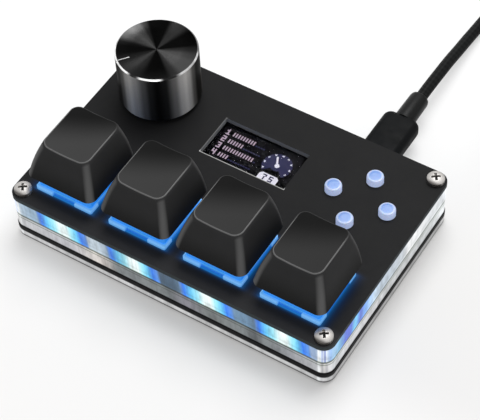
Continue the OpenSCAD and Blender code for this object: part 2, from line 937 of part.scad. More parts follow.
usb_socket();
plug_shell();
plug_body();
plug_boot();
cable();
cable_coil();
cable_tail();
cable_tie();
usb_a_body();
usb_a_shell();
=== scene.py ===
"""Desk macro keypad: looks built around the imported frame.

Objects are in metres, Z up. Named sizes are in millimetres.
"""
import math
import bpy
import bmesh
from mathutils import Matrix, Vector


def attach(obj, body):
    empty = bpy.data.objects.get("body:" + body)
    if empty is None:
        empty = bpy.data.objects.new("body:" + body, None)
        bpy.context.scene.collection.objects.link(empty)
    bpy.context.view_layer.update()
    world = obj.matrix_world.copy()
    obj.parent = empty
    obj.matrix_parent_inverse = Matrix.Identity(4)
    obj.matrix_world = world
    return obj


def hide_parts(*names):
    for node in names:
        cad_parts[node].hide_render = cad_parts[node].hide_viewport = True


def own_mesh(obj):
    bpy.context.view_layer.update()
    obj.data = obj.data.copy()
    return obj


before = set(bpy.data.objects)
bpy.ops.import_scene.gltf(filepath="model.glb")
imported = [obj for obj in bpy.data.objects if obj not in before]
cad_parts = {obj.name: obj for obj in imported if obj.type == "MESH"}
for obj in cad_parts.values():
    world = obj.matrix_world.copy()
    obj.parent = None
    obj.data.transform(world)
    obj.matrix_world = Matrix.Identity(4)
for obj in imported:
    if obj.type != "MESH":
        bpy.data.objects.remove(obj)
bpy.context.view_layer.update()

MM = 0.001
scene = bpy.context.scene
scene.view_settings.view_transform = "Standard"
# ---------------------------------------------------------------- sizes, in mm
CASE_W = 81.2
# Heights of the case's layers from the base up: where each begins, and the plate's top
BASE_Z, BOTTOM_Z, LOWER_Z, UPPER_Z, PLATE_Z, PLATE_TOP = 0.3, 2.3, 3.5, 7.4, 12.1, 13.3
SCREW_X, SCREW_Y = 38.0, 23.9
PITCH, KEY_Y = 19.05, -14.4
KEY_X = [(i - 1.5) * PITCH for i in range(4)]
KNOB_X, KNOB_Y = -27.7, 15.0
WIN_Y, WIN_W, WIN_D = 10.65, 21.2, 10.7
WIN_FRONT = WIN_Y - WIN_D / 2
BUTTON_X, BUTTON_STEP = 26.7, 6.65
BUTTONS = [(BUTTON_X + BUTTON_STEP * x, WIN_Y + BUTTON_STEP * y)
           for x, y in ((-1, 0), (0, 1), (0, -1), (1, 0))]
CABLE_D, CABLE_LENGTH = 2.8, 1518
USB_X, USB_Y, USB_Z = 20.5, 50.0, 5.12

# ---------------------------------------------------------------- camera
AZ, EL, ROLL = 0.606558, 0.899935, -0.0595713
CAM_DIST = 388.817 * MM
TARGET = Vector((5.703, -4.556, PLATE_TOP)) * MM
SENSOR, LENS = 36, 135.53
back = Vector((math.sin(AZ) * math.cos(EL), -math.cos(AZ) * math.cos(EL), math.sin(EL)))
sideways = (-back).cross(Vector((0, 0, 1))).normalized()
upright = sideways.cross(-back)
right = math.cos(ROLL) * sideways + math.sin(ROLL) * upright
up = -math.sin(ROLL) * sideways + math.cos(ROLL) * upright
cam = bpy.data.objects.new("camera", bpy.data.cameras.new("camera"))
scene.collection.objects.link(cam)
cam.matrix_world = Matrix((right, up, back)).transposed().to_4x4()
cam.location = TARGET + back * CAM_DIST
cam.data.sensor_fit = "HORIZONTAL"
cam.data.sensor_width = SENSOR
cam.data.lens = LENS
cam.data.clip_start = 0.01
cam.data.clip_end = 20
scene.camera = cam


# ---------------------------------------------------------------- node helper
class Net:
    """The node tree of a material or world, with short ways to add and join its nodes."""

    def __init__(self, name, world=None):
        self.mat = world or bpy.data.materials.new(name)
        self.mat.use_nodes = True
        self.tree = self.mat.node_tree
        self.tree.nodes.clear()

    def add(self, kind, ins=None, **props):
        n = self.tree.nodes.new("ShaderNode" + kind)
        for k, v in props.items():
            setattr(n, k, v)
        for k, v in (ins or {}).items():
            self.put(n.inputs[k], v)
        return n

    def put(self, socket, v):
        if isinstance(v, bpy.types.NodeSocket):
            self.tree.links.new(v, socket)
        elif hasattr(v, "outputs"):
            self.tree.links.new(v.outputs[0], socket)
        elif isinstance(v, (tuple, list)) and len(v) == 3 and socket.type == "RGBA":
            socket.default_value = (*v, 1)
        else:
            socket.default_value = v

    def math(self, op, a, b=None, c=None):
        n = self.add("Math", operation=op)
        for i, v in enumerate((a, b, c)):
            if v is not None:
                self.put(n.inputs[i], v)
        return n.outputs[0]

    def minus(self, a, b):
        return self.math("SUBTRACT", a, b)

    def times(self, a, b):
        return self.math("MULTIPLY", a, b)

    def most(self, a, b):
        return self.math("MAXIMUM", a, b)

    def size(self, v):
        return self.math("ABSOLUTE", v)

    def reach(self, a, b):
        """Length of the line whose two sides are a and b."""
        return self.math("SQRT", self.math("ADD", self.times(a, a), self.times(b, b)))

    def normal(self):
        """X, Y and Z of the surface's normal."""
        return self.add("SeparateXYZ", {0: self.add("NewGeometry").outputs["Normal"]}).outputs

    def nearest(self, x, first, pitch):
        """Number of the nearest of four places in a row, and how far x is from it."""
        i = self.math("ROUND", self.math("DIVIDE", self.minus(x, first), pitch))
        i = self.math("MINIMUM", self.most(i, 0), 3)
        return i, self.minus(x, self.math("MULTIPLY_ADD", i, pitch, first))

    def seen(self):
        """1 for the camera's rays and for those that a mirror or glass sends on."""
        ray = self.add("LightPath").outputs
        return self.most(ray["Is Camera Ray"], self.most(ray["Is Glossy Ray"], ray["Is Transmission Ray"]))

    def mix(self, t, a, b, blend="MIX"):
        n = self.add("Mix", data_type="RGBA", blend_type=blend)
        self.put(n.inputs[0], t)
        self.put(n.inputs[6], a)
        self.put(n.inputs[7], b)
        return n.outputs[2]

    def ramp(self, t, stops, ease="LINEAR"):
        """Colour ramp; stops are (position, grey or colour)."""
        n = self.add("ValToRGB", {"Fac": t})
        r = n.color_ramp
        r.interpolation = ease
        for i, (p, c) in enumerate(stops):
            e = r.elements[i] if i < 2 else r.elements.new(p)
            e.position = p
            e.color = (*c, 1) if isinstance(c, tuple) else (c, c, c, 1)
        return n.outputs[0]

    def smooth(self, v, a, b, low=0.0, high=1.0):
        n = self.add("MapRange", interpolation_type="SMOOTHSTEP")
        for i, x in enumerate((v, a, b, low, high)):
            self.put(n.inputs[i], x)
        return n.outputs[0]

    def place(self):
        """X, Y and Z in millimetres, and the joined vector."""
        co = self.add("TexCoord").outputs["Object"]
        mm = self.add("VectorMath", operation="SCALE")
        self.put(mm.inputs[0], co)
        self.put(mm.inputs["Scale"], 1000)
        s = self.add("SeparateXYZ", {0: mm.outputs[0]})
        return s.outputs[0], s.outputs[1], s.outputs[2], mm.outputs[0]

    def stretched(self, vec, scale):
        n = self.add("Mapping", {"Vector": vec})
        n.inputs["Scale"].default_value = scale
        return n.outputs[0]

    def noise(self, vec, scale, detail=3, rough=0.5):
        return self.add("TexNoise", {"Vector": vec, "Scale": scale, "Detail": detail,
                                     "Roughness": rough}).outputs[0]

    def bump(self, height, strength, dist=0.0001):
        return self.add("Bump", {"Height": height, "Strength": strength, "Distance": dist}).outputs[0]

    def shader(self, **ins):
        names = {"color": "Base Color", "rough": "Roughness", "metal": "Metallic",
                 "normal": "Normal", "coat": "Coat Weight", "coat_rough": "Coat Roughness",
                 "ior": "IOR", "trans": "Transmission Weight", "glow": "Emission Color",
                 "glow_power": "Emission Strength", "aniso": "Anisotropic",
                 "tangent": "Tangent", "sheen": "Sheen Weight",
                 "specular": "Specular IOR Level", "sub": "Subsurface Weight",
                 "sub_scale": "Subsurface Scale"}
        n = self.add("BsdfPrincipled", {names[k]: v for k, v in ins.items()})
        out = self.add("OutputMaterial", {"Surface": n})
        out.is_active_output = True
        return self.mat


def srgb(r, g, b):
    f = lambda c: c / 12.92 if c <= 0.04045 else ((c + 0.055) / 1.055) ** 2.4
    return tuple(f(c / 255) for c in (r, g, b))


def moulded(name, color, rough=0.5, grain=2.5, bump=0.25, vary=0.12, rub=0.2, specular=0.2, **more):
    """Plastic, rubber or painted surface: fine grain, cloudy colour, rubbed spots."""
    n = Net(name)
    _, _, _, v = n.place()
    cloud = n.noise(v, 0.12, 4, 0.6)
    fine = n.noise(v, grain, 3, 0.7)
    dark = tuple(c * (1 - vary) for c in color)
    light = tuple(min(1, c * (1 + vary)) for c in color)
    col = n.mix(n.smooth(cloud, 0.3, 0.7), dark, light)
    shine = n.ramp(n.noise(v, 0.5, 5, 0.65), [(0.35, rough * (1 - rub)), (0.7, min(1, rough * (1 + rub)))])
    return n.shader(color=col, rough=shine, specular=specular, normal=n.bump(fine, bump, 0.00005), **more)


def metal(name, color, rough=0.25, lines=(1, 1, 12), bump=0.12):
    """Bare or plated metal with drawn lines."""
    n = Net(name)
    _, _, _, v = n.place()
    drawn = n.noise(n.stretched(v, lines), 2.2, 4, 0.7)
    cloud = n.noise(v, 0.4, 3)
    col = n.mix(n.smooth(cloud, 0.3, 0.7), tuple(c * 0.82 for c in color), color)
    shine = n.ramp(drawn, [(0.3, rough * 0.7), (0.75, min(1, rough * 1.5))])
    return n.shader(color=col, rough=shine, metal=1.0, normal=n.bump(drawn, bump, 0.00004))


# ---------------------------------------------------------------- mesh helpers
def new_object(name, bm, mats, smooth=40):
    me = bpy.data.meshes.new(name)
    bmesh.ops.recalc_face_normals(bm, faces=bm.faces)
    for e in bm.edges:
        if len(e.link_faces) == 2:
            e.smooth = e.calc_face_angle(0) < math.radians(smooth)
    for f in bm.faces:
        f.smooth = True
    bm.to_mesh(me)
    bm.free()
    ob = bpy.data.objects.new(name, me)
    scene.collection.objects.link(ob)
    for m in mats if isinstance(mats, (list, tuple)) else [mats]:
        me.materials.append(m)
    return ob


def apply_all(ob):
    dg = bpy.context.evaluated_depsgraph_get()
    me = bpy.data.meshes.new_from_object(ob.evaluated_get(dg))
    ob.modifiers.clear()
    ob.data = me


def weighted(ob):
    """Even shading on flat faces beside small bevels."""
    w = ob.modifiers.new("normals", "WEIGHTED_NORMAL")
    w.keep_sharp = True
    apply_all(ob)
    return ob


def softened(node, body, mat, width=0.12, segments=2, angle=32):
    """The CAD node's own shape with its sharp edges eased, in place of the node."""
    bm = bmesh.new()
    bm.from_mesh(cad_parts[node].data)
    bmesh.ops.remove_doubles(bm, verts=bm.verts, dist=2e-7)
    bmesh.ops.dissolve_limit(bm, angle_limit=math.radians(0.6), verts=bm.verts, edges=bm.edges)
    sharp = [e for e in bm.edges if len(e.link_faces) == 2
             and e.calc_face_angle(0) > math.radians(angle)]
    bmesh.ops.bevel(bm, geom=sharp, offset=width * MM, offset_type="OFFSET", segments=segments,
                    profile=0.5, affect="EDGES", clamp_overlap=True)
    ob = weighted(new_object(node + "_eased", bm, mat, 50))
    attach(ob, body)
    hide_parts(node)
    return ob


def ring(pts, bm):
    return [bm.verts.new(Vector(p) * MM) for p in pts]


def loft(bm, rings, closed=True, mat=0):
    """Quads between rings of equal length."""
    for a, b in zip(rings, rings[1:]):
        n = len(a)
        for i in range(n if closed else n - 1):
            f = bm.faces.new((a[i], a[(i + 1) % n], b[(i + 1) % n], b[i]))
            f.material_index = mat


def cap(bm, r, mat=0):
    """Closes a ring with a fan round its middle."""
    c = bm.verts.new(sum((v.co for v in r), Vector()) / len(r))
    for i in range(len(r)):
        bm.faces.new((r[i], r[(i + 1) % len(r)], c)).material_index = mat


def lathe(name, profile, mats, at=(0, 0), steps=96, smooth=40, parts=None):
    """Turned piece from (radius, height) points in mm; a radius of 0 closes an end."""
    bm = bmesh.new()
    rings, ends = [], {}
    for k, (r, z) in enumerate(profile):
        if r == 0:
            ends[k] = bm.verts.new(Vector((at[0], at[1], z)) * MM)
            rings.append(None)
        else:
            rings.append(ring([(at[0] + r * math.cos(2 * math.pi * i / steps),
                                at[1] + r * math.sin(2 * math.pi * i / steps), z)
                               for i in range(steps)], bm))
    for k in range(len(profile) - 1):
        a, b = rings[k], rings[k + 1]
        m = parts[k] if parts else 0
        if a and b:
            loft(bm, [a, b], mat=m)
        elif a or b:
            side, tip = (a, ends[k + 1]) if a else (b, ends[k])
            for i in range(steps):
                bm.faces.new((side[i], side[(i + 1) % steps], tip)).material_index = m
    return new_object(name, bm, mats, smooth)


def round_rect(w, d, r, n=6):
    """Points round a rectangle with round corners, n steps to each corner."""
    pts = []
    for cx, cy, a0 in ((1, 1, 0), (-1, 1, 90), (-1, -1, 180), (1, -1, 270)):
        for k in range(n + 1):
            a = math.radians(a0 + 90 * k / n)
            pts.append((cx * (w / 2 - r) + r * math.cos(a), cy * (d / 2 - r) + r * math.sin(a)))
    return pts


def dense_rect(w, d, r, n=8, side=6):
    """As round_rect, with extra points along the sides so that they can curve."""
    base = round_rect(w, d, r, n)
    pts = []
    m = n + 1
    for c in range(4):
        pts += base[c * m:(c + 1) * m]
        a, b = base[(c + 1) * m - 1], base[((c + 1) * m) % len(base)]
        pts += [(a[0] + (b[0] - a[0]) * k / side, a[1] + (b[1] - a[1]) * k / side)
                for k in range(1, side)]
    return pts


# ---------------------------------------------------------------- cord
USB = Vector((USB_X, USB_Y, USB_Z))
# From the plug: X and Y, the share of the plug's height that is left, and Z over it
cable_points = [
    (0, 0.05, 1, 0), (0, 4, 1, 0), (0, 9, 0.95, 0), (-0.1, 14, 0.8, 0.2), (-0.2, 19, 0.5, 0.8),
    (-0.3, 24, 0.3, 1), (-0.3, 29, 0.1, 1.3), (-0.1, 34, 0, 1.5), (0.5, 39, 0, 1.5),
    (1.5, 44, 0, 1.7), (2, 48, 0, 2.1), (2.1, 52, 0, 2.1), (2.1, 55.1, 0, 2.1)]
tail_points = [
    (-21.35, 7, 11.9), (-20.2, 13, 11.2), (-16.8, 19, 10.3), (-11.2, 23.4, 9.3),
    (-4, 25.6, 8.3), (4, 25.3, 7.3), (11.2, 22.6, 6.3), (17.2, 18.2, 5.4), (21.8, 12.4, 4.5),
    (24.6, 6, 3.9), (25.3, 0, 3.7), (25.3, -5, 3.7), (25.3, -9, 3.7)]
COIL = Vector((44, 108, 2.1))
COIL_MID_R, COIL_STEP, LAYERS, LAYER_TURNS, PER_TURN = 15.625, 3.3, 4, 3.5, 24


def coil_point(t):
    """Place after t turns: layers wound inwards and outwards by turns, one on another."""
    u = t % (2 * LAYER_TURNS)
    v = u if u < LAYER_TURNS else 2 * LAYER_TURNS - u
    r = COIL_MID_R + COIL_STEP * (LAYER_TURNS / 2 - v)
    k = math.floor(t / LAYER_TURNS + 0.5)
    near = t - k * LAYER_TURNS
    if k < 1:
        lift = 0
    elif k > LAYERS - 1:
        lift = LAYERS - 1
    else:
        lift = k - 1 + min(1, max(0, near * 2 + 0.5))
    a = math.radians(180 - 360 * t)
    return COIL + Vector((r * math.cos(a), r * math.sin(a), COIL_STEP * lift))


route = [USB + Vector((x, y, (s - 1) * USB.z + z)) for x, y, s, z in cable_points]
turns = LAYERS * LAYER_TURNS
route += [coil_point(k / PER_TURN) for k in range(int(turns * PER_TURN) + 1)]
route += [Vector((COIL.x + x, COIL.y + y, z)) for x, y, z in tail_points]


def cable_sleeve():
    """Woven sleeve: two sets of strands that cross round the cable."""
    n = Net("cable_sleeve")
    _, _, _, v = n.place()
    fine = n.noise(v, 6, 4, 0.7)
    along, around = n.add("SeparateXYZ", {0: n.add("TexCoord").outputs["UV"]}).outputs[:2]
    strands_along, strands_around = 620, 5
    run = n.times(along, 2 * math.pi * strands_along)
    strands = [n.math("SINE", n.math("MULTIPLY_ADD", around, 2 * math.pi * count, run))
               for count in (strands_around, -strands_around)]
    weave = n.math("MULTIPLY_ADD", n.times(*strands), 0.5, 0.5)
    tone = n.math("MULTIPLY_ADD", weave, 0.8, n.times(fine, 0.2))
    return n.shader(color=n.mix(tone, srgb(7, 8, 8), srgb(30, 31, 31)), specular=0.06,
                    rough=n.ramp(fine, [(0.3, 0.42), (0.7, 0.62)]), normal=n.bump(weave, 0.5, 0.0001))


curve = bpy.data.curves.new("usb_cable", "CURVE")
curve.dimensions = "3D"
spline = curve.splines.new("BEZIER")
spline.bezier_points.add(len(route) - 1)
for bp, p in zip(spline.bezier_points, route):
    bp.co = p * MM
    bp.handle_left_type = bp.handle_right_type = "AUTO"
spline.resolution_u = 3
curve.bevel_depth = CABLE_D / 2 * MM
curve.bevel_resolution = 5
curve.use_fill_caps = True
curve.materials.append(cable_sleeve())
cable = bpy.data.objects.new("usb_cable", curve)
scene.collection.objects.link(cable)
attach(cable, "case")
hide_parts("cable", "cable_coil", "cable_tail")


# ---------------------------------------------------------------- materials
def plate_black():
    """Painted black plate, with painted light: a painted glow of the keys' light round them, a painted
    lighter strip along the front and painted highlights along the window's front and left edges; the
    window's cut edge is bare.
    """
    n = Net("plate_black")
    x, y, _, v = n.place()
    _, from_key = n.nearest(x, KEY_X[0], PITCH)
    beside = n.most(n.minus(n.size(from_key), 7.0), 0)
    before = n.times(n.most(n.minus(n.size(n.minus(y, KEY_Y)), 7.4), 0), 2.4)
    away = n.reach(beside, before)
    # Painted light: the keys' blue light spilling round them, given off by the plate itself
    painted_spill = n.times(n.math("EXPONENT", n.times(away, -1.1)), n.smooth(away, 4.5, 1))
    cut_edge = n.smooth(n.size(n.normal()[2]), 0.85, 0.3)
    outside = n.most(n.minus(n.size(x), WIN_W / 2), n.minus(n.size(n.minus(y, WIN_Y)), WIN_D / 2))
    front = n.smooth(y, WIN_FRONT + 0.2, WIN_FRONT + 0.05)
    left = n.smooth(x, 0.15 - WIN_W / 2, -WIN_W / 2)
    # Painted highlights: thin light lines on the top along the window's front and left edges, the front one
    # brighter
    line = n.times(n.smooth(n.size(n.minus(outside, 0.12)), 0.3, 0.18), n.most(front, left))
    face = n.mix(n.noise(v, 0.15, 3), srgb(29, 29, 30), srgb(34, 34, 34))
    # Painted light: a lighter strip in front of the keys, offsetting the keycaps' shadow there
    face = n.mix(n.smooth(y, -20.5, -22.5), face, srgb(44, 44, 45))
    face = n.mix(line, face, n.mix(front, srgb(105, 105, 105), srgb(185, 185, 183)))
    window_edge = n.times(n.smooth(outside, 0.3, 0.1), cut_edge)
    edge_color = n.mix(window_edge, srgb(58, 64, 66), srgb(180, 180, 182))
    glow = n.ramp(painted_spill, [(0, (0, 0, 0)), (0.25, (0.0, 0.012, 0.045)), (0.6, (0.002, 0.05, 0.165)),
                          (1, (0.008, 0.15, 0.5))])
    return n.shader(color=n.mix(cut_edge, face, edge_color), specular=0.04,
                    rough=n.ramp(n.noise(v, 1.3, 5, 0.65), [(0.3, 0.45), (0.7, 0.58)]),
                    normal=n.bump(n.noise(v, 7, 3, 0.7), 0.3, 0.00004), glow=glow, glow_power=1.0)


# Colours of the clear sheets' painted glow; GREEN_DARK darkens their joint lines
GREY_BLUE = srgb(100, 135, 165)
DEEP_BLUE = srgb(52, 80, 104)
PALE = srgb(190, 204, 215)
AZURE = srgb(16, 122, 246)
SKY = srgb(100, 205, 250)
CYAN = srgb(165, 238, 253)
WHITE_LIGHT = srgb(240, 255, 255)
GREEN_DARK = (0.24, 0.3, 0.22)


def clear_sheet(name, front, side, corner, power, streak, foot, head, seams_and_shade):
    """Clear cut sheet between two heights, with a painted glow: its long edges, short edges and corners
    differ, with painted highlights at the corners.
    """
    n = Net(name)
    x, y, z, v = n.place()
    nx = n.size(n.normal()[0])
    lean = n.times(n.minus(PLATE_Z, z), 0.1)
    # Painted glow: each edge's colours, slanted with height, are the sheet's colour and its emission
    look = n.mix(n.smooth(nx, 0.45, 0.8), front(n, n.minus(x, lean)), side(n, n.math("ADD", y, lean)))
    # Painted highlights and refraction streaks on the rounded corners
    painted_corner_light = n.times(n.smooth(nx, 0.12, 0.3), n.smooth(nx, 0.98, 0.9))
    look = n.mix(painted_corner_light, look, n.ramp(nx, corner))
    # Painted glint: a white vertical highlight where the corner pillars show through
    pillar = n.minus(n.size(x), CASE_W / 2 - 2.6)
    painted_glint = n.ramp(n.math("MULTIPLY_ADD", pillar, 0.25, 0.5),
                   [(0.3, 0.0), (0.45, 0.2), (0.5, 1.0), (0.6, 0.9), (0.68, 0.1), (0.8, 0.0)])
    look = n.mix(n.times(painted_glint, n.smooth(nx, 0.5, 0.1)), look, (0.95, 0.98, 1.0))
    lines = n.noise(n.stretched(v, (1, 1, 0.1)), streak, 4, 0.7)
    spots = n.noise(n.stretched(v, (0.45, 0.45, 0.2)), streak, 2, 0.5)
    fine = n.noise(n.stretched(v, (1, 1, 0.25)), 5, 3, 0.6)
    # Up the height: dark joint lines, and painted shade at the sheet's ends and at the base's foot
    height = n.math("DIVIDE", n.minus(z, foot), head - foot)
    for amount, stops in ((spots, [(0.35, 0.78), (0.5, 1.0), (0.65, 1.1)]),
                          (lines, [(0.3, 0.8), (0.5, 0.98), (0.7, 1.1)]), (height, seams_and_shade)):
        look = n.mix(1.0, look, n.ramp(amount, stops), "MULTIPLY")
    return n.shader(color=n.mix(1.0, look, (0.2, 0.2, 0.2), "MULTIPLY"), specular=0.3,
                    rough=n.ramp(fine, [(0.3, 0.08), (0.75, 0.2)]), trans=0.12, ior=1.49, glow=look,
                    glow_power=power, normal=n.bump(lines, 0.2, 0.0001), coat=0.15, coat_rough=0.05)


# Painted lit zones along the upper frame's front, one to a key, and the lengths that the ramps run over
ZONE_X, ZONE_PITCH, ZONE_W = -26.4, 18.6, 16
FRONT_RUN, SIDE_RUN = 82, 54


def edge_ramp(n, u, run, stops):
    """Ramp over a length of the edge whose middle is at 0."""
    return n.ramp(n.math("MULTIPLY_ADD", u, 1 / run, 0.5), stops)


def lit_front(n, u):
    """Four painted lit zones over paler and darker painted stretches."""
    _, d = n.nearest(u, ZONE_X, ZONE_PITCH)
    zone = edge_ramp(n, d, ZONE_W, [
        (0.06, GREY_BLUE), (0.14, AZURE), (0.25, SKY), (0.36, CYAN), (0.45, WHITE_LIGHT),
        (0.56, WHITE_LIGHT), (0.63, CYAN), (0.72, SKY), (0.8, AZURE), (0.87, srgb(75, 145, 240)),
        (0.95, GREY_BLUE)])
    rest = edge_ramp(n, u, FRONT_RUN, [
        (0.0, PALE), (0.08, srgb(140, 170, 195)), (0.29, PALE), (0.35, GREY_BLUE), (0.39, DEEP_BLUE),
        (0.53, DEEP_BLUE), (0.57, GREY_BLUE), (0.75, GREY_BLUE), (0.79, DEEP_BLUE),
        (0.93, srgb(158, 180, 215)), (1.0, GREY_BLUE)])
    return n.mix(n.smooth(n.size(n.math("ADD", d, 0.15)), 7.1, 6.3), rest, zone)


# Painted glow along the upper frame's sides
def lit_side(n, u):
    deep = srgb(40, 86, 212)
    return edge_ramp(n, u, SIDE_RUN, [
        (0.03, srgb(170, 198, 230)), (0.1, srgb(108, 182, 225)), (0.15, deep), (0.19, deep), (0.22, SKY),
        (0.26, deep), (0.3, srgb(96, 165, 244)), (0.37, srgb(195, 222, 246)), (0.42, srgb(172, 188, 204)),
        (0.6, srgb(182, 190, 198)), (0.64, srgb(234, 236, 238)), (0.75, srgb(225, 228, 230)),
        (0.82, srgb(204, 208, 212)), (1.0, srgb(222, 226, 230))])


# Painted tones of the lower and base sheets' edges, which they also give off as glow
def plain_front(n, u):
    mid = srgb(124, 130, 132)
    return edge_ramp(n, u, FRONT_RUN, [
        (0.0, srgb(198, 200, 203)), (0.2, srgb(184, 184, 190)), (0.27, srgb(230, 224, 219)),
        (0.3, srgb(206, 198, 194)), (0.34, mid), (0.49, mid), (0.505, srgb(96, 102, 104)),
        (0.56, srgb(136, 134, 144)), (0.62, srgb(116, 121, 121)), (0.73, mid), (0.77, srgb(84, 88, 92)),
        (0.8, mid), (0.88, srgb(148, 150, 156)), (0.93, srgb(178, 180, 184))])


def plain_side(n, u):
    return edge_ramp(n, u, SIDE_RUN, [
        (0.0, srgb(190, 195, 197)), (0.15, srgb(204, 206, 210)), (0.42, srgb(206, 207, 210)),
        (0.47, srgb(184, 186, 188)), (0.75, srgb(188, 191, 193)), (0.9, srgb(212, 216, 219)),
        (1.0, srgb(236, 240, 242))])


def pale_front(n, u):
    return edge_ramp(n, u, FRONT_RUN, [(0.0, srgb(198, 198, 200)), (0.5, srgb(204, 204, 205)),
                                       (1.0, srgb(200, 201, 202))])


def pale_side(n, u):
    return edge_ramp(n, u, SIDE_RUN, [(0.02, srgb(204, 204, 205)), (0.1, srgb(154, 154, 155)),
                                      (0.9, srgb(142, 143, 143)), (1.0, srgb(200, 200, 202))])


plate_mat = plate_black()
# Sheets with a painted glow: edge colours, corner highlights, glow power, streak size, heights, then joint
# lines and painted shade up the height
upper_mat = clear_sheet(
    "upper_clear", lit_front, lit_side,
    [(0.1, srgb(170, 190, 230)), (0.25, WHITE_LIGHT), (0.4, srgb(176, 190, 236)),
     (0.52, srgb(225, 236, 250)), (0.6, srgb(60, 90, 190)), (0.66, srgb(232, 242, 252)),
     (0.8, srgb(190, 212, 244)), (0.9, srgb(150, 190, 240))], 0.86, 1.4, UPPER_Z, PLATE_Z,
    [(0.0, GREEN_DARK), (0.04, GREEN_DARK), (0.1, 1.06), (0.2, 1.0), (0.28, 0.84), (0.42, 0.93),
     (0.85, 1.0), (0.93, 0.9), (1.0, 0.5)])
lower_mat = clear_sheet(
    "lower_clear", plain_front, plain_side,
    [(0.1, srgb(184, 182, 184)), (0.3, srgb(206, 203, 200)), (0.42, srgb(170, 170, 174)),
     (0.55, srgb(214, 212, 210)), (0.7, srgb(178, 178, 182)), (0.85, srgb(226, 226, 228))],
    0.8, 1.3, LOWER_Z, UPPER_Z,
    [(0.0, 0.06), (0.05, 0.12), (0.11, 1.0), (0.7, 1.0), (0.78, GREEN_DARK), (0.84, 1.0),
     (0.9, 1.04), (0.96, GREEN_DARK), (1.0, 0.3)])
base_mat = clear_sheet(
    "base_clear", pale_front, pale_side, [(0.1, srgb(200, 200, 202)), (0.9, srgb(205, 205, 206))],
    0.8, 0.6, BASE_Z, BOTTOM_Z,
    [(0.0, 0.1), (0.2, 0.13), (0.31, 0.8), (0.38, 1.02), (0.8, 1.04), (0.86, 0.9), (0.93, 0.12),
     (1.0, 0.06)])


def switch_lit():
    """Switch housing with a painted blue glow on its flange, paler on the four ears and dimmer low down."""
    n = Net("switch_lit")
    x, y, z, v = n.place()
    _, from_key = n.nearest(x, KEY_X[0], PITCH)
    dx = n.size(from_key)
    dy = n.size(n.minus(y, KEY_Y))
    edge = n.smooth(n.most(dx, dy), 6.9, 7.5)
    ear = n.times(n.smooth(dx, 2.7, 3.1), n.smooth(dy, 4.6, 5.0))
    ear = n.times(ear, n.math("MULTIPLY_ADD", edge, 0.85, 0.15))
    height = n.smooth(z, PLATE_TOP - 0.2, PLATE_TOP + 1.0)
    look = n.mix(height, srgb(16, 72, 152), srgb(82, 158, 212))
    look = n.mix(ear, look, n.mix(height, srgb(92, 145, 192), srgb(132, 190, 238)))
    grain = n.noise(v, 3, 3)
    return n.shader(color=n.mix(grain, srgb(20, 105, 190), srgb(60, 150, 228)), rough=0.3, coat=0.08,
                    specular=0.2, coat_rough=0.1, normal=n.bump(grain, 0.15, 0.00005), glow=look,
                    glow_power=0.72)


def keycap_black():
    """Matt keycap: darker towards its foot, with painted lighter tops, painted shade towards the back of
    its top and painted highlights along its corners.
    """
    n = Net("keycap_black")
    x, y, z, v = n.place()
    nx, ny, nz = n.normal()
    index, from_key = n.nearest(x, KEY_X[0], PITCH)
    painted_rear_shade = n.smooth(n.math("MULTIPLY_ADD", from_key, -0.55, y), KEY_Y - 2.0, KEY_Y + 8.0)
    flat = n.smooth(nz, 0.8, 0.95)
    color = n.mix(n.noise(v, 0.3, 3), srgb(44, 44, 44), srgb(48, 48, 49))
    color = n.mix(n.smooth(z, PLATE_TOP + 10.5, PLATE_TOP + 4.5), color, srgb(29, 29, 29))
    # Painted light: tops lighter than the sides, lightest on the first key
    top = n.mix(n.math("DIVIDE", index, 3), srgb(56, 56, 56), srgb(44, 44, 44))
    color = n.mix(flat, color, top)
    # Painted shade towards the back of the top
    color = n.mix(n.times(painted_rear_shade, flat), color, srgb(8, 8, 8))
    # Painted highlights along the corners, weaker towards the back
    corner = n.smooth(n.size(n.times(nx, ny)), 0.16, 0.465)
    color = n.mix(n.times(corner, n.smooth(ny, 0.3, 0, 0.4, 1)), color, srgb(98, 98, 98))
    grain = n.noise(v, 6, 3, 0.7)
    return n.shader(color=color, rough=n.ramp(grain, [(0.3, 0.5), (0.7, 0.6)]), specular=0.05,
                    normal=n.bump(grain, 0.3, 0.00005))


def keycap_rim():
    """Painted highlight round the edge of a keycap's dish, with painted shade towards the back."""
    n = Net("keycap_rim")
    _, y, _, v = n.place()
    spots = n.noise(v, 2, 2)
    tone = n.mix(spots, srgb(90, 90, 90), srgb(100, 100, 100))
    return n.shader(color=n.mix(n.smooth(y, KEY_Y + 3.5, KEY_Y + 7.4), tone, srgb(20, 20, 20)),
                    rough=n.ramp(spots, [(0.3, 0.4), (0.7, 0.5)]), specular=0.2,
                    normal=n.bump(n.noise(v, 6), 0.2, 0.00004))


def screw_steel():
    """Screw heads: painted shade in the recess, a darker skirt and a painted dark crescent of shade at the
    front.
    """
    n = Net("screw_steel")
    x, y, z, v = n.place()
    radius = n.reach(n.minus(n.size(x), SCREW_X), n.minus(n.size(y), SCREW_Y))
    # Painted shade in the cross recess
    recess = n.times(n.smooth(radius, 0.95, 0.75), n.smooth(z, PLATE_TOP + 1.15, PLATE_TOP + 1.0))
    color = n.mix(n.noise(v, 0.8), srgb(174, 171, 168), srgb(190, 187, 184))
    color = n.mix(n.smooth(radius, 1.6, 2.0, 0, 0.2), color, srgb(120, 118, 116))
    # Painted shade: a dark crescent on the front of the head
    crescent = n.times(n.smooth(radius, 1.25, 1.5), n.smooth(n.normal()[1], -0.3, -0.6, 0, 0.8))
    color = n.mix(crescent, color, srgb(48, 42, 38))
    drawn = n.noise(v, 3, 4, 0.7)
    return n.shader(color=n.mix(recess, color, srgb(22, 21, 20)), metal=0.75,
                    rough=n.ramp(drawn, [(0.3, 0.42), (0.7, 0.54)]), normal=n.bump(drawn, 0.1, 0.00003))


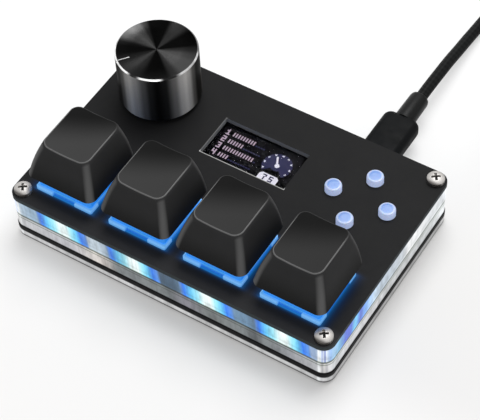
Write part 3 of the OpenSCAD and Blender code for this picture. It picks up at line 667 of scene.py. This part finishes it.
switch_mat = switch_lit()
cap_mat = keycap_black()
rim_highlight_mat = keycap_rim()
screw_mat = screw_steel()
# Painted light: the switch covers and stems give off a blue glow
cover_mat = moulded("switch_cover_clear", srgb(45, 125, 215), 0.25, 2, 0.1, 0.1, glow=srgb(40, 138, 232),
                    glow_power=0.62, coat=0.1)
stem_mat = moulded("stem_white", srgb(205, 215, 230), 0.35, 2, 0.1, 0.08, glow=srgb(40, 90, 170),
                   glow_power=0.25)
led_mat = moulded("led_lit", (0.4, 0.7, 1.0), 0.3, 3, 0.1, 0.1, glow=(0.25, 0.65, 1.0), glow_power=1.2)
board_mat = moulded("board_mask", srgb(22, 62, 42), 0.3, 1.2, 0.3, 0.25, coat=0.4)
chip_mat = moulded("chip_body", srgb(24, 24, 25), 0.5)
foam_mat = moulded("foam_pad", srgb(30, 30, 31), 0.95, 4, 0.6)
ribbon_mat = moulded("ribbon_film", srgb(150, 92, 28), 0.3, 1.5, 0.1, 0.15)
rubber_mat = moulded("foot_rubber", srgb(26, 26, 27), 0.85, 5, 0.5)
plug_mat = moulded("plug_moulding", srgb(14, 15, 16), 0.5, 6, 0.3, 0.1, specular=0.05)
boot_mat = moulded("boot_moulding", srgb(16, 17, 17), 0.4, 6, 0.3, 0.1, specular=0.12)
strap_mat = moulded("strap_soft", srgb(30, 30, 32), 0.8, 4, 0.5, 0.15, sheen=0.3)
tact_mat = moulded("tact_body", srgb(30, 30, 30), 0.5)
panel_mat = moulded("panel_black", srgb(12, 12, 14), 0.12, 1, 0.02, 0.1, 0.2, coat=0.6)
bottom_mat = moulded("plate_bottom", srgb(13, 13, 14), 0.55, 6, 0.2, specular=0.1)
brass_mat = metal("brass_turned", srgb(205, 165, 95), 0.25, (1, 1, 14))
steel_mat = metal("plated_steel", srgb(165, 165, 167), 0.4, (1, 12, 1))
spring_mat = metal("spring_wire", srgb(190, 190, 190), 0.2, (3, 3, 3))
shaft_mat = metal("shaft_steel", srgb(175, 175, 175), 0.28, (1, 1, 12))
grub_mat = metal("grub_black", srgb(45, 45, 46), 0.35, (2, 2, 2))


def turned(name, stops, grooves, scale=1.0, rough=0.3, aniso=0.6, metallic=1.0, specular=0.5, ior=1.5,
           tint=(1.0, 1.0, 1.0)):
    """Dark turned metal with painted reflections that run in sectors round the knob's axis.

    grooves gives how fine its lines are outwards, upwards and round the axis.
    """
    n = Net(name)
    x, y, z, v = n.place()
    dx = n.minus(x, KNOB_X)
    dy = n.minus(y, KNOB_Y)
    turn = n.math("FRACT", n.math("MULTIPLY_ADD", n.math("ARCTAN2", dy, dx), 1 / (2 * math.pi), 1.0))
    rings = n.add("CombineXYZ", {0: n.times(n.reach(dx, dy), grooves[0]), 1: n.times(z, grooves[1]),
                                 2: n.times(turn, grooves[2])})
    cut = n.noise(rings.outputs[0], 1.0, 2, 0.6)
    look = n.ramp(turn, [(place, grey * scale) for place, grey in stops], "EASE")
    look = n.mix(1.0, look, n.ramp(cut, [(0.35, 0.7), (0.5, 1.0), (0.65, 1.3)]), "MULTIPLY")
    look = n.mix(1.0, look, tint, "MULTIPLY")
    around = n.add("Tangent", direction_type="RADIAL", axis="Z").outputs[0]
    return n.shader(color=look, metal=metallic, rough=rough, aniso=aniso, tangent=around,
                    specular=specular, ior=ior, normal=n.bump(cut, 0.12, 0.00003))


def sectors(pairs):
    """Ramp stops from (degrees, grey) pairs, closed over the full turn."""
    pairs = sorted((a % 360, g) for a, g in pairs)
    (a0, g0), (a1, g1) = pairs[0], pairs[-1]
    seam = g1 + (g0 - g1) * (360 - a1) / (360 - a1 + a0)
    return [(0.0, seam)] + [(a / 360, g) for a, g in pairs] + [(1.0, seam)]


# Painted reflections: bright and dark sectors by angle round the axis on the knob's top, side and bevel
# ring
knob_top_mat = turned("knob_top", sectors([
    (3, 0.11), (14, 0.075), (30, 0.02), (40, 0.001), (66, 0.001), (82, 0.022), (94, 0.022), (106, 0.001),
    (134, 0.001), (143, 0.018), (152, 0.062), (164, 0.088), (178, 0.055), (194, 0.004), (202, 0.001),
    (216, 0.001), (234, 0.01), (254, 0.038), (270, 0.016), (288, 0.001), (318, 0.001), (330, 0.035),
    (345, 0.11)]), (60, 0, 0), 0.6, rough=0.24)
knob_side_mat = turned("knob_side", sectors([
    (9, 0.005), (20, 0.005), (60, 0.12), (110, 0.01), (150, 0.12), (195, 0.004), (238, 0.006),
    (248, 0.04), (257, 0.15), (263, 0.19), (272, 0.13), (284, 0.04), (293, 0.008), (303, 0.002),
    (315, 0.006), (328, 0.07), (338, 0.2), (345, 0.25), (351, 0.18), (0, 0.04)]), (0, 16, 0), 2.5,
    rough=0.45, aniso=0.4, metallic=0.1, specular=0.05, ior=1.12, tint=(1.0, 0.97, 0.92))
knob_ring_mat = turned("knob_ring", sectors([
    (0, 0.5), (20, 0.6), (30, 0.2), (100, 0.2), (170, 0.25), (196, 0.6), (214, 0.95), (257, 0.95),
    (266, 0.03), (273, 0.03), (284, 0.95), (304, 0.95), (314, 0.02), (330, 0.02), (341, 0.6)]),
    (0, 0.4, 20), rough=0.15, aniso=0.0)
pointer_mat = metal("pointer_silver", srgb(180, 180, 180), 0.3, (2, 2, 2), 0.03)

# ---------------------------------------------------------------- case
softened("top_plate", "case", plate_mat, 0.14)
softened("upper_spacer", "case", upper_mat, 0.16)
softened("lower_spacer", "case", lower_mat, 0.14)
softened("bottom_plate", "case", bottom_mat, 0.05)
softened("base_plate", "case", base_mat, 0.25, 3)
softened("top_screws", "case", screw_mat, 0.1, 2, 28)
softened("bottom_screws", "case", screw_mat, 0.1, 2, 28)
softened("rubber_feet", "case", rubber_mat, 0.1)
softened("standoffs", "case", brass_mat, 0.08)

# ---------------------------------------------------------------- keycaps
CAP_BASE, CAP_W, CAP_D, CAP_BACK, CAP_H = 17.5, 11.9, 13.4, 1.4, 8.5
CAP_BULGE, CAP_CORNER = 0.5, 2.2
DISH_R, DISH, CAP_Z = 36, 0.45, PLATE_TOP + 5
RIM = 0.24
# Hollow under the cap: how much narrower it is at its foot and its top, and its height
HOLLOW_FOOT, HOLLOW_TOP, HOLLOW_H = 2.6, 1.9, 6.9
# Socket: its radius and ends, and the cross inside it
SOCKET_R, SOCKET_LOW, SOCKET_HIGH = 2.75, PLATE_TOP + 6.65, CAP_Z + 6.95
CROSS_REACH, CROSS_X, CROSS_Y = 2.05, 0.7, 0.62


def cap_shape(f, inset=0.0):
    """Outline of the cap at f of its height, from 0 to 1, and how far back it has moved."""
    bulge = CAP_BULGE * math.sin(math.pi * f)
    w = CAP_BASE + (CAP_W - CAP_BASE) * f + bulge - 2 * inset
    d = CAP_BASE + (CAP_D - CAP_BASE) * f + bulge - 2 * inset
    return dense_rect(w, d, max(0.2, CAP_CORNER - 0.1 * f - inset), 8, 8), CAP_BACK * f


def dish_z(x):
    return CAP_H - DISH + x * x / (2 * DISH_R)


def keycap(i):
    """Shell of a keycap, with its dish, its rim and the hollow under it."""
    bm = bmesh.new()
    cx, cy = KEY_X[i], KEY_Y

    def level(points, shift, z):
        return ring([(cx + p[0], cy + shift + p[1], CAP_Z + (z(p[0]) if callable(z) else z))
                     for p in points], bm)

    rings = []
    for inset, z in ((1.15, 0.0), (0.15, 0.0), (0.0, 0.12)):
        pts, s = cap_shape(0, inset)
        rings.append(level(pts, s, z))
    for f in (0.08, 0.2, 0.35, 0.5, 0.65, 0.8, 0.9, 0.955):
        pts, s = cap_shape(f)
        rings.append(level(pts, s, lambda x, f=f: f * dish_z(x)))
    for k in range(5):
        a = math.radians(22.5 * k)
        pts, s = cap_shape(1, RIM * (1 - math.cos(a)))
        rings.append(level(pts, s, lambda x, a=a: dish_z(x) - RIM + RIM * math.sin(a)))
    pts, s = cap_shape(1, RIM)
    for k in (0.985, 0.93, 0.8, 0.62, 0.42, 0.2):
        rings.append(level([(p[0] * k, p[1] * k) for p in pts], s, dish_z))
    loft(bm, rings[:12])
    # The dish's rounded edge takes the rim's painted highlight
    loft(bm, rings[11:16], mat=1)
    loft(bm, rings[15:])
    cap(bm, rings[-1])
    inner = [rings[0]]
    for f in (0.1, 0.4, 0.75, 1.0):
        w = CAP_BASE - HOLLOW_FOOT + (CAP_W - HOLLOW_TOP - CAP_BASE + HOLLOW_FOOT) * f
        d = CAP_BASE - HOLLOW_FOOT + (CAP_D - HOLLOW_TOP - CAP_BASE + HOLLOW_FOOT) * f
        inner.append(level(dense_rect(w, d, 1.0, 8, 8), CAP_BACK * f, HOLLOW_H * f))
    loft(bm, inner)
    cap(bm, inner[-1])
    ob = new_object(f"keycap_shell_{i + 1}", bm, [cap_mat, rim_highlight_mat], 50)
    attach(ob, f"key_{i + 1}")
    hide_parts(f"keycap_{i + 1}")


def keycap_socket(i):
    """Socket under a keycap, round outside and cross-shaped inside."""
    bm = bmesh.new()
    a, b, c = CROSS_REACH, CROSS_X, CROSS_Y
    cross = [(b, a), (b, c), (a, c), (a, -c), (b, -c), (b, -a), (-b, -a), (-b, -c), (-a, -c), (-a, c),
             (-b, c), (-b, a)]
    outer = [(SOCKET_R * math.cos(2 * math.pi * k / 48), SOCKET_R * math.sin(2 * math.pi * k / 48))
             for k in range(48)]
    rows = []
    for pts in (outer, cross):
        rows.append([ring([(KEY_X[i] + x, KEY_Y + y, z) for x, y in pts], bm)
                     for z in (SOCKET_LOW, SOCKET_HIGH)])
    for low, high in rows:
        loft(bm, [low, high])
    for end in (0, 1):
        rim = []
        for row in rows:
            r = row[end]
            rim += [bm.edges.get((r[k], r[(k + 1) % len(r)])) for k in range(len(r))]
        bmesh.ops.triangle_fill(bm, edges=rim, use_beauty=True)
    ob = new_object(f"keycap_socket_{i + 1}", bm, cap_mat, 40)
    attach(ob, f"key_{i + 1}")


for i in range(4):
    keycap(i)
    keycap_socket(i)
    softened(f"switch_base_{i + 1}", "case", switch_mat, 0.12)
    softened(f"switch_cover_{i + 1}", "case", cover_mat, 0.15)
    softened(f"stem_{i + 1}", f"key_{i + 1}", stem_mat, 0.08)

# ---------------------------------------------------------------- knob
KNOB_R, KNOB_Z, KNOB_TOP, BEVEL = 9.42, 14.4, 27.9, 0.36
BORE_R, HOLLOW_R, HOLLOW_D = 3.85, 8.35, 2.2
POINTER_TURN, POINTER_IN = 232, 6.3
profile = [(BORE_R, KNOB_Z + 6.0), (BORE_R, KNOB_Z + HOLLOW_D), (HOLLOW_R, KNOB_Z + HOLLOW_D),
           (HOLLOW_R, KNOB_Z + 0.05), (8.4, KNOB_Z), (9.05, KNOB_Z), (9.25, KNOB_Z + 0.08),
           (KNOB_R, KNOB_Z + 0.28), (KNOB_R, KNOB_Z + 6), (KNOB_R, KNOB_TOP - BEVEL - 0.03),
           (KNOB_R - 0.02, KNOB_TOP - BEVEL + 0.02), (KNOB_R - BEVEL + 0.02, KNOB_TOP - 0.02),
           (KNOB_R - BEVEL - 0.03, KNOB_TOP), (KNOB_R - BEVEL - 0.12, KNOB_TOP - 0.03),
           (5.5, KNOB_TOP - 0.05), (2.5, KNOB_TOP - 0.07), (0, KNOB_TOP - 0.09)]
# The side's faces, then the bevel, then the top's
parts = [0] * 10 + [1] + [2] * 5
knob = lathe("knob_turned", profile, [knob_side_mat, knob_ring_mat, knob_top_mat], (KNOB_X, KNOB_Y), 144,
             30, parts)
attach(knob, "knob_turn")
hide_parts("knob")

# Pointer: a bare line cut over the top and down the bevel
bm = bmesh.new()
angle = math.radians(POINTER_TURN)
along_line = Vector((math.cos(angle), math.sin(angle), 0))
across = Vector((-math.sin(angle), math.cos(angle), 0))
path = [(POINTER_IN, KNOB_TOP - 0.04), (POINTER_IN + 0.05, KNOB_TOP + 0.02),
        (KNOB_R - BEVEL, KNOB_TOP + 0.03), (KNOB_R + 0.015, KNOB_TOP - BEVEL + 0.02),
        (KNOB_R + 0.015, KNOB_TOP - BEVEL - 0.45),
        (KNOB_R - 0.1, KNOB_TOP - BEVEL - 0.5)]
rows = []
for s, drop in ((-0.13, 0.08), (-0.09, 0.0), (0.09, 0.0), (0.13, 0.08)):
    rows.append(ring([Vector((KNOB_X, KNOB_Y, z - drop)) + along_line * (r - drop) + across * s
                      for r, z in path], bm))
loft(bm, rows, closed=False)
pointer = new_object("knob_pointer_line", bm, pointer_mat, 30)
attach(pointer, "knob_turn")
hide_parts("knob_pointer")

for node, body, slot, mat in (
        ("encoder_body", "case", "encoder_steel", steel_mat),
        ("encoder_bushing", "case", "bushing_brass", brass_mat),
        ("encoder_shaft", "knob_turn", "encoder_steel", shaft_mat),
        ("knob_screw", "knob_turn", "grub_steel", grub_mat),
        ("plug_shell", "case", "plug_steel", steel_mat), ("usb_socket", "case", "socket_steel", steel_mat)):
    softened(node, body, mat, 0.1)
softened("cable_tie", "case", strap_mat, 0.35, 3)
# ---------------------------------------------------------------- small buttons
BUTTON_TOP, BUTTON_R, BUTTON_EDGE = PLATE_TOP + 1.6, 1.9, 0.42


def button_lit():
    """Milky button with a painted glow: a bluer middle inside a paler rim and side, the side glowing more.
    """
    n = Net("button_lit")
    x, y, _, v = n.place()
    radius = None
    for bx, by in BUTTONS:
        here = n.reach(n.minus(x, bx), n.minus(y, by))
        radius = here if radius is None else n.math("MINIMUM", radius, here)
    look = n.mix(n.smooth(radius, 1.15, 1.65), srgb(86, 128, 194), srgb(176, 189, 220))
    side = n.smooth(n.normal()[2], 0.75, 0.2)
    look = n.mix(side, look, srgb(176, 189, 222))
    return n.shader(color=look, rough=0.32, coat=0.3, coat_rough=0.15, sub=0.2, sub_scale=0.001,
                    normal=n.bump(n.noise(v, 3, 3), 0.1, 0.00005), glow=look,
                    glow_power=n.math("MULTIPLY_ADD", side, 0.5, 0.08))


button_mat = button_lit()
profile = [(0, 10.9), (1.0, 10.9), (1.0, 11.45), (2.3, 11.45), (2.4, 11.55), (2.4, 11.95), (2.3, 12.05),
           (BUTTON_R, 12.05), (BUTTON_R, BUTTON_TOP - 0.45)]
for a in (18, 36, 54, 72, 90):
    profile.append((BUTTON_R - BUTTON_EDGE * (1 - math.cos(math.radians(a))),
                    BUTTON_TOP - 0.45 + BUTTON_EDGE * math.sin(math.radians(a))))
profile += [(1.3, BUTTON_TOP), (0.7, BUTTON_TOP), (0, BUTTON_TOP)]
for i, place in enumerate(BUTTONS, 1):
    button = lathe(f"round_button_{i}", profile, button_mat, place, 64, 50)
    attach(button, f"small_button_{i}")
    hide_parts(f"button_{i}")

# ---------------------------------------------------------------- display
SCREEN_Z = PLATE_Z + 0.1
PIXEL, COLS, ROWS = 0.165, 124, 62
ROSE, INDIGO, WHITE = 0, 1, 2
BAR_CELLS, BAR_STEP = 13, 13
GAUGE_COL, GAUGE_ROW, GAUGE_R, NEEDLE_TURN = 96, 30, 21, 118
DIGITS = {
    "1": ("010", "110", "010", "010", "111"), "2": ("111", "001", "111", "100", "111"),
    "3": ("111", "001", "011", "001", "111"), "4": ("101", "101", "111", "001", "001"),
    "5": ("111", "100", "111", "001", "111"), "7": ("111", "001", "010", "010", "010")}
pixels = {}


def lens_clear():
    n = Net("lens_clear")
    _, _, _, v = n.place()
    return n.shader(color=(0.97, 0.97, 0.98), rough=n.ramp(n.noise(v, 0.6), [(0.5, 0.0), (0.9, 0.02)]),
                    trans=1.0, ior=1.02, specular=0.1)


def glowing(name, color, power):
    """Lit pixels of the screen."""
    n = Net(name)
    _, _, _, v = n.place()
    look = n.mix(n.noise(v, 3.0, 2), tuple(c * 0.8 for c in color), color)
    return n.shader(color=(0.01, 0.01, 0.012), rough=0.4, specular=0.03, glow=look, glow_power=power)


def digit(ch, col, row, kind):
    """One digit in blocks of two by two pixels."""
    for r, line in enumerate(DIGITS[ch]):
        for c, bit in enumerate(line):
            if bit == "1":
                for a in range(2):
                    for b in range(2):
                        pixels[(col + c * 2 + a, row + r * 2 + b)] = kind


def level_bar(label, filled, row):
    """A numbered bar: tall cells up to its level, low ones after it."""
    digit(label, 6, row, ROSE)
    for cell in range(BAR_CELLS):
        lit = cell < filled
        for a in range(2 if lit else 3):
            for b in range(2, 9) if lit else range(7, 9):
                pixels[(17 + 4 * cell + a, row + b)] = ROSE if lit else INDIGO


def gauge_pixel(c, r):
    """Kind of the gauge's pixel: its disc, then its ticks, needle, hub and number plate, or None."""
    dx, dy = c - GAUGE_COL, GAUGE_ROW - r
    radius = math.hypot(dx, dy)
    angle = math.degrees(math.atan2(dy, dx)) % 360
    needle = math.radians(NEEDLE_TURN)
    along_needle = math.cos(needle) * dx + math.sin(needle) * dy
    off_needle = abs(-math.sin(needle) * dx + math.cos(needle) * dy)
    tick = GAUGE_R - 3 <= radius <= GAUGE_R - 1 and (angle < 225 or angle > 315) and angle % 30 < 8
    number_plate = 48 <= r <= 60 and abs(dx) <= 14 - max(0, 51 - r)
    if tick or radius < 3.6 or number_plate or (0 < along_needle < GAUGE_R - 5 and off_needle < 1.3):
        return WHITE
    if radius <= GAUGE_R and not (225 < angle < 315 and radius > 9):
        return INDIGO
    return None


for k, (label, filled) in enumerate((("1", 9), ("2", 6), ("3", 12), ("4", 4))):
    level_bar(label, filled, 7 + BAR_STEP * k)
for c in range(COLS):
    for r in range(ROWS):
        kind = gauge_pixel(c, r)
        if kind is not None:
            pixels[(c, r)] = kind
digit("7", 88, 50, INDIGO)
digit("5", 98, 50, INDIGO)

# Each row's stretches of one kind are a single face
bm = bmesh.new()
x0, y0 = -COLS * PIXEL / 2, WIN_Y + ROWS * PIXEL / 2
for r in range(ROWS):
    c = 0
    while c < COLS:
        kind = pixels.get((c, r))
        end = c
        while end < COLS and pixels.get((end, r)) == kind:
            end += 1
        if kind is not None:
            xa, xb = x0 + c * PIXEL, x0 + end * PIXEL
            ya, yb = y0 - r * PIXEL, y0 - (r + 1) * PIXEL
            z = SCREEN_Z + 0.015
            f = bm.faces.new(ring([(xa, ya, z), (xa, yb, z), (xb, yb, z), (xb, ya, z)], bm))
            f.material_index = kind
        c = end
marks = new_object("screen_marks", bm, [glowing("screen_rose", srgb(212, 190, 210), 0.75),
                                        glowing("screen_indigo", srgb(40, 40, 84), 0.8),
                                        glowing("screen_white", srgb(240, 238, 250), 0.95)])
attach(marks, "case")
screen_mat = moulded("screen_off", srgb(4, 4, 7), 0.3, 1, 0.02, 0.1, specular=0.03)
softened("display_panel", "case", panel_mat, 0.08)
softened("display_screen", "case", screen_mat, 0.02)
lens = softened("display_lens", "case", lens_clear(), 0.05)
# The lens's underside lies just above the marks
for vert in lens.data.vertices:
    if vert.co.z < (SCREEN_Z + 0.02) * MM:
        vert.co.z = (SCREEN_Z + 0.04) * MM


# ---------------------------------------------------------------- USB plugs
PLUG = (USB_X, 26.9, USB_Z)
PLUG_W, PLUG_H, PLUG_CORNER, PLUG_L, PLUG_NOSE = 9.0, 4.8, 1.85, 13.3, 1.6


def loft_y(name, sections, centre, mats, flip=1):
    """Rounded bar along Y from (y, width, height, radius) sections; flip=-1 runs it to the front."""
    bm = bmesh.new()
    rings = [ring([(centre[0] + x, y * flip + centre[1], centre[2] + z)
                   for x, z in round_rect(w, h, r, 8)], bm) for y, w, h, r in sections]
    loft(bm, rings)
    cap(bm, rings[0])
    cap(bm, rings[-1])
    return new_object(name, bm, mats, 40)


sections = [(0, 8.4, 4.2, 1.5), (0.12, 8.8, 4.6, 1.7), (0.4, PLUG_W, PLUG_H, PLUG_CORNER),
            (PLUG_L, PLUG_W, PLUG_H, PLUG_CORNER)]
for a in (15, 30, 45, 60, 75, 88):
    turn_in = 1 - math.cos(math.radians(a))
    sections.append((PLUG_L + PLUG_NOSE * math.sin(math.radians(a)), PLUG_W - 2.6 * turn_in,
                     PLUG_H - 1.5 * turn_in, PLUG_CORNER - 0.55 * turn_in))
plug = loft_y("plug_moulding", sections, PLUG, plug_mat)
boot_sections = [(14.6, 4.8, 4.8, 2.39), (15.1, 4.9, 4.9, 2.44), (22.0, 4.7, 4.7, 2.34),
                 (22.6, 4.45, 4.45, 2.22), (22.95, 3.6, 3.6, 1.79), (23.1, 3.0, 3.0, 1.49)]
boot = loft_y("plug_relief", boot_sections, PLUG, boot_mat)
for ob, node in ((plug, "plug_body"), (boot, "plug_boot")):
    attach(ob, "case")
    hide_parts(node)

TAIL_END = Vector((COIL.x + tail_points[-1][0], COIL.y + tail_points[-1][1], tail_points[-1][2]))
a_sections = [(0, 3.6, 3.6, 1.79), (0.15, 4.0, 4.0, 1.99), (7.6, 5.9, 5.9, 2.94), (8.0, 6.1, 6.1, 3.04),
              (8.02, 13.6, 6.0, 1.2), (8.3, 14.9, 6.9, 1.5), (9.0, 15.4, 7.4, 1.7),
              (27.2, 15.4, 7.4, 1.7), (27.8, 15.1, 7.1, 1.6), (28.0, 14.4, 6.4, 1.4)]
a_plug = loft_y("usb_a_moulding", a_sections, TAIL_END, plug_mat, flip=-1)
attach(a_plug, "case")
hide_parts("usb_a_body")
a_shell = softened("usb_a_shell", "case", steel_mat, 0.1)

# Key springs: each with its edges eased and a mesh of its own
for i, x in enumerate(KEY_X, 1):
    coil = softened(f"key_spring_{i}", "case", spring_mat, 0.03, 1)
    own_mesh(coil)

# ---------------------------------------------------------------- nodes kept as they are
for node, m in (("circuit_board", board_mat), ("board_chips", chip_mat), ("leds", led_mat),
                ("display_pad", foam_mat), ("display_flex", ribbon_mat), ("encoder_plunger", chip_mat),
                ("button_switches", tact_mat)):
    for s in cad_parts[node].material_slots:
        s.material = m


# ---------------------------------------------------------------- floor, lights, world
def floor_white():
    """Pale floor that keeps the shadows, with painted light: it glows more behind the case, washing out the
    shadows there, and less beside it, a painted shadow.
    """
    n = Net("floor_white")
    x, y, _, _ = n.place()
    # Painted light: the floor glows more behind the case, which washes out the shadows there
    behind = n.smooth(n.math("MULTIPLY_ADD", x, -0.75, y), -35, 50)
    far = n.smooth(n.reach(x, y), 120, 500)
    # Painted shadow: the floor glows less beside the case's right side
    beside = n.times(n.times(n.smooth(x, 25, 45), n.smooth(x, 120, 70)), n.smooth(y, -34, -12))
    lift = n.math("MULTIPLY_ADD", behind, 0.32, n.math("MULTIPLY_ADD", beside, -0.08, 0.21))
    lift = n.most(lift, n.times(far, 0.6))
    return n.shader(color=n.mix(behind, (0.62, 0.615, 0.61), (0.4, 0.4, 0.4)), rough=0.6, specular=0.1,
                    glow=(1, 1, 1), glow_power=n.times(n.seen(), lift))


bm = bmesh.new()
bmesh.ops.create_circle(bm, cap_ends=True, radius=4, segments=96)
floor = new_object("floor", bm, floor_white())
floor.location.z = -0.0001

# The world lights the object softly, and shows white itself
world = bpy.data.worlds.new("studio")
scene.world = world
sky = Net("studio", world)
ambient = sky.add("Background", {"Color": (1, 1, 1), "Strength": 0.55})
white = sky.add("Background", {"Color": (1, 1, 1), "Strength": 1.0})
sky.add("OutputWorld", {"Surface": sky.add("MixShader", {0: sky.seen(), 1: ambient, 2: white})})


def area(name, place, size, watts, aim=(0, 0, 0.01)):
    light = bpy.data.lights.new(name, "AREA")
    light.shape = "DISK"
    light.size, light.energy = size, watts
    ob = bpy.data.objects.new(name, light)
    scene.collection.objects.link(ob)
    ob.location = place
    ob.rotation_euler = (Vector(aim) - Vector(place)).to_track_quat("-Z", "Y").to_euler()


area("key_light", (-0.03, 0.3, 0.7), 0.55, 4.8)
area("fill_light", (0.3, -0.6, 0.5), 0.6, 0.5)
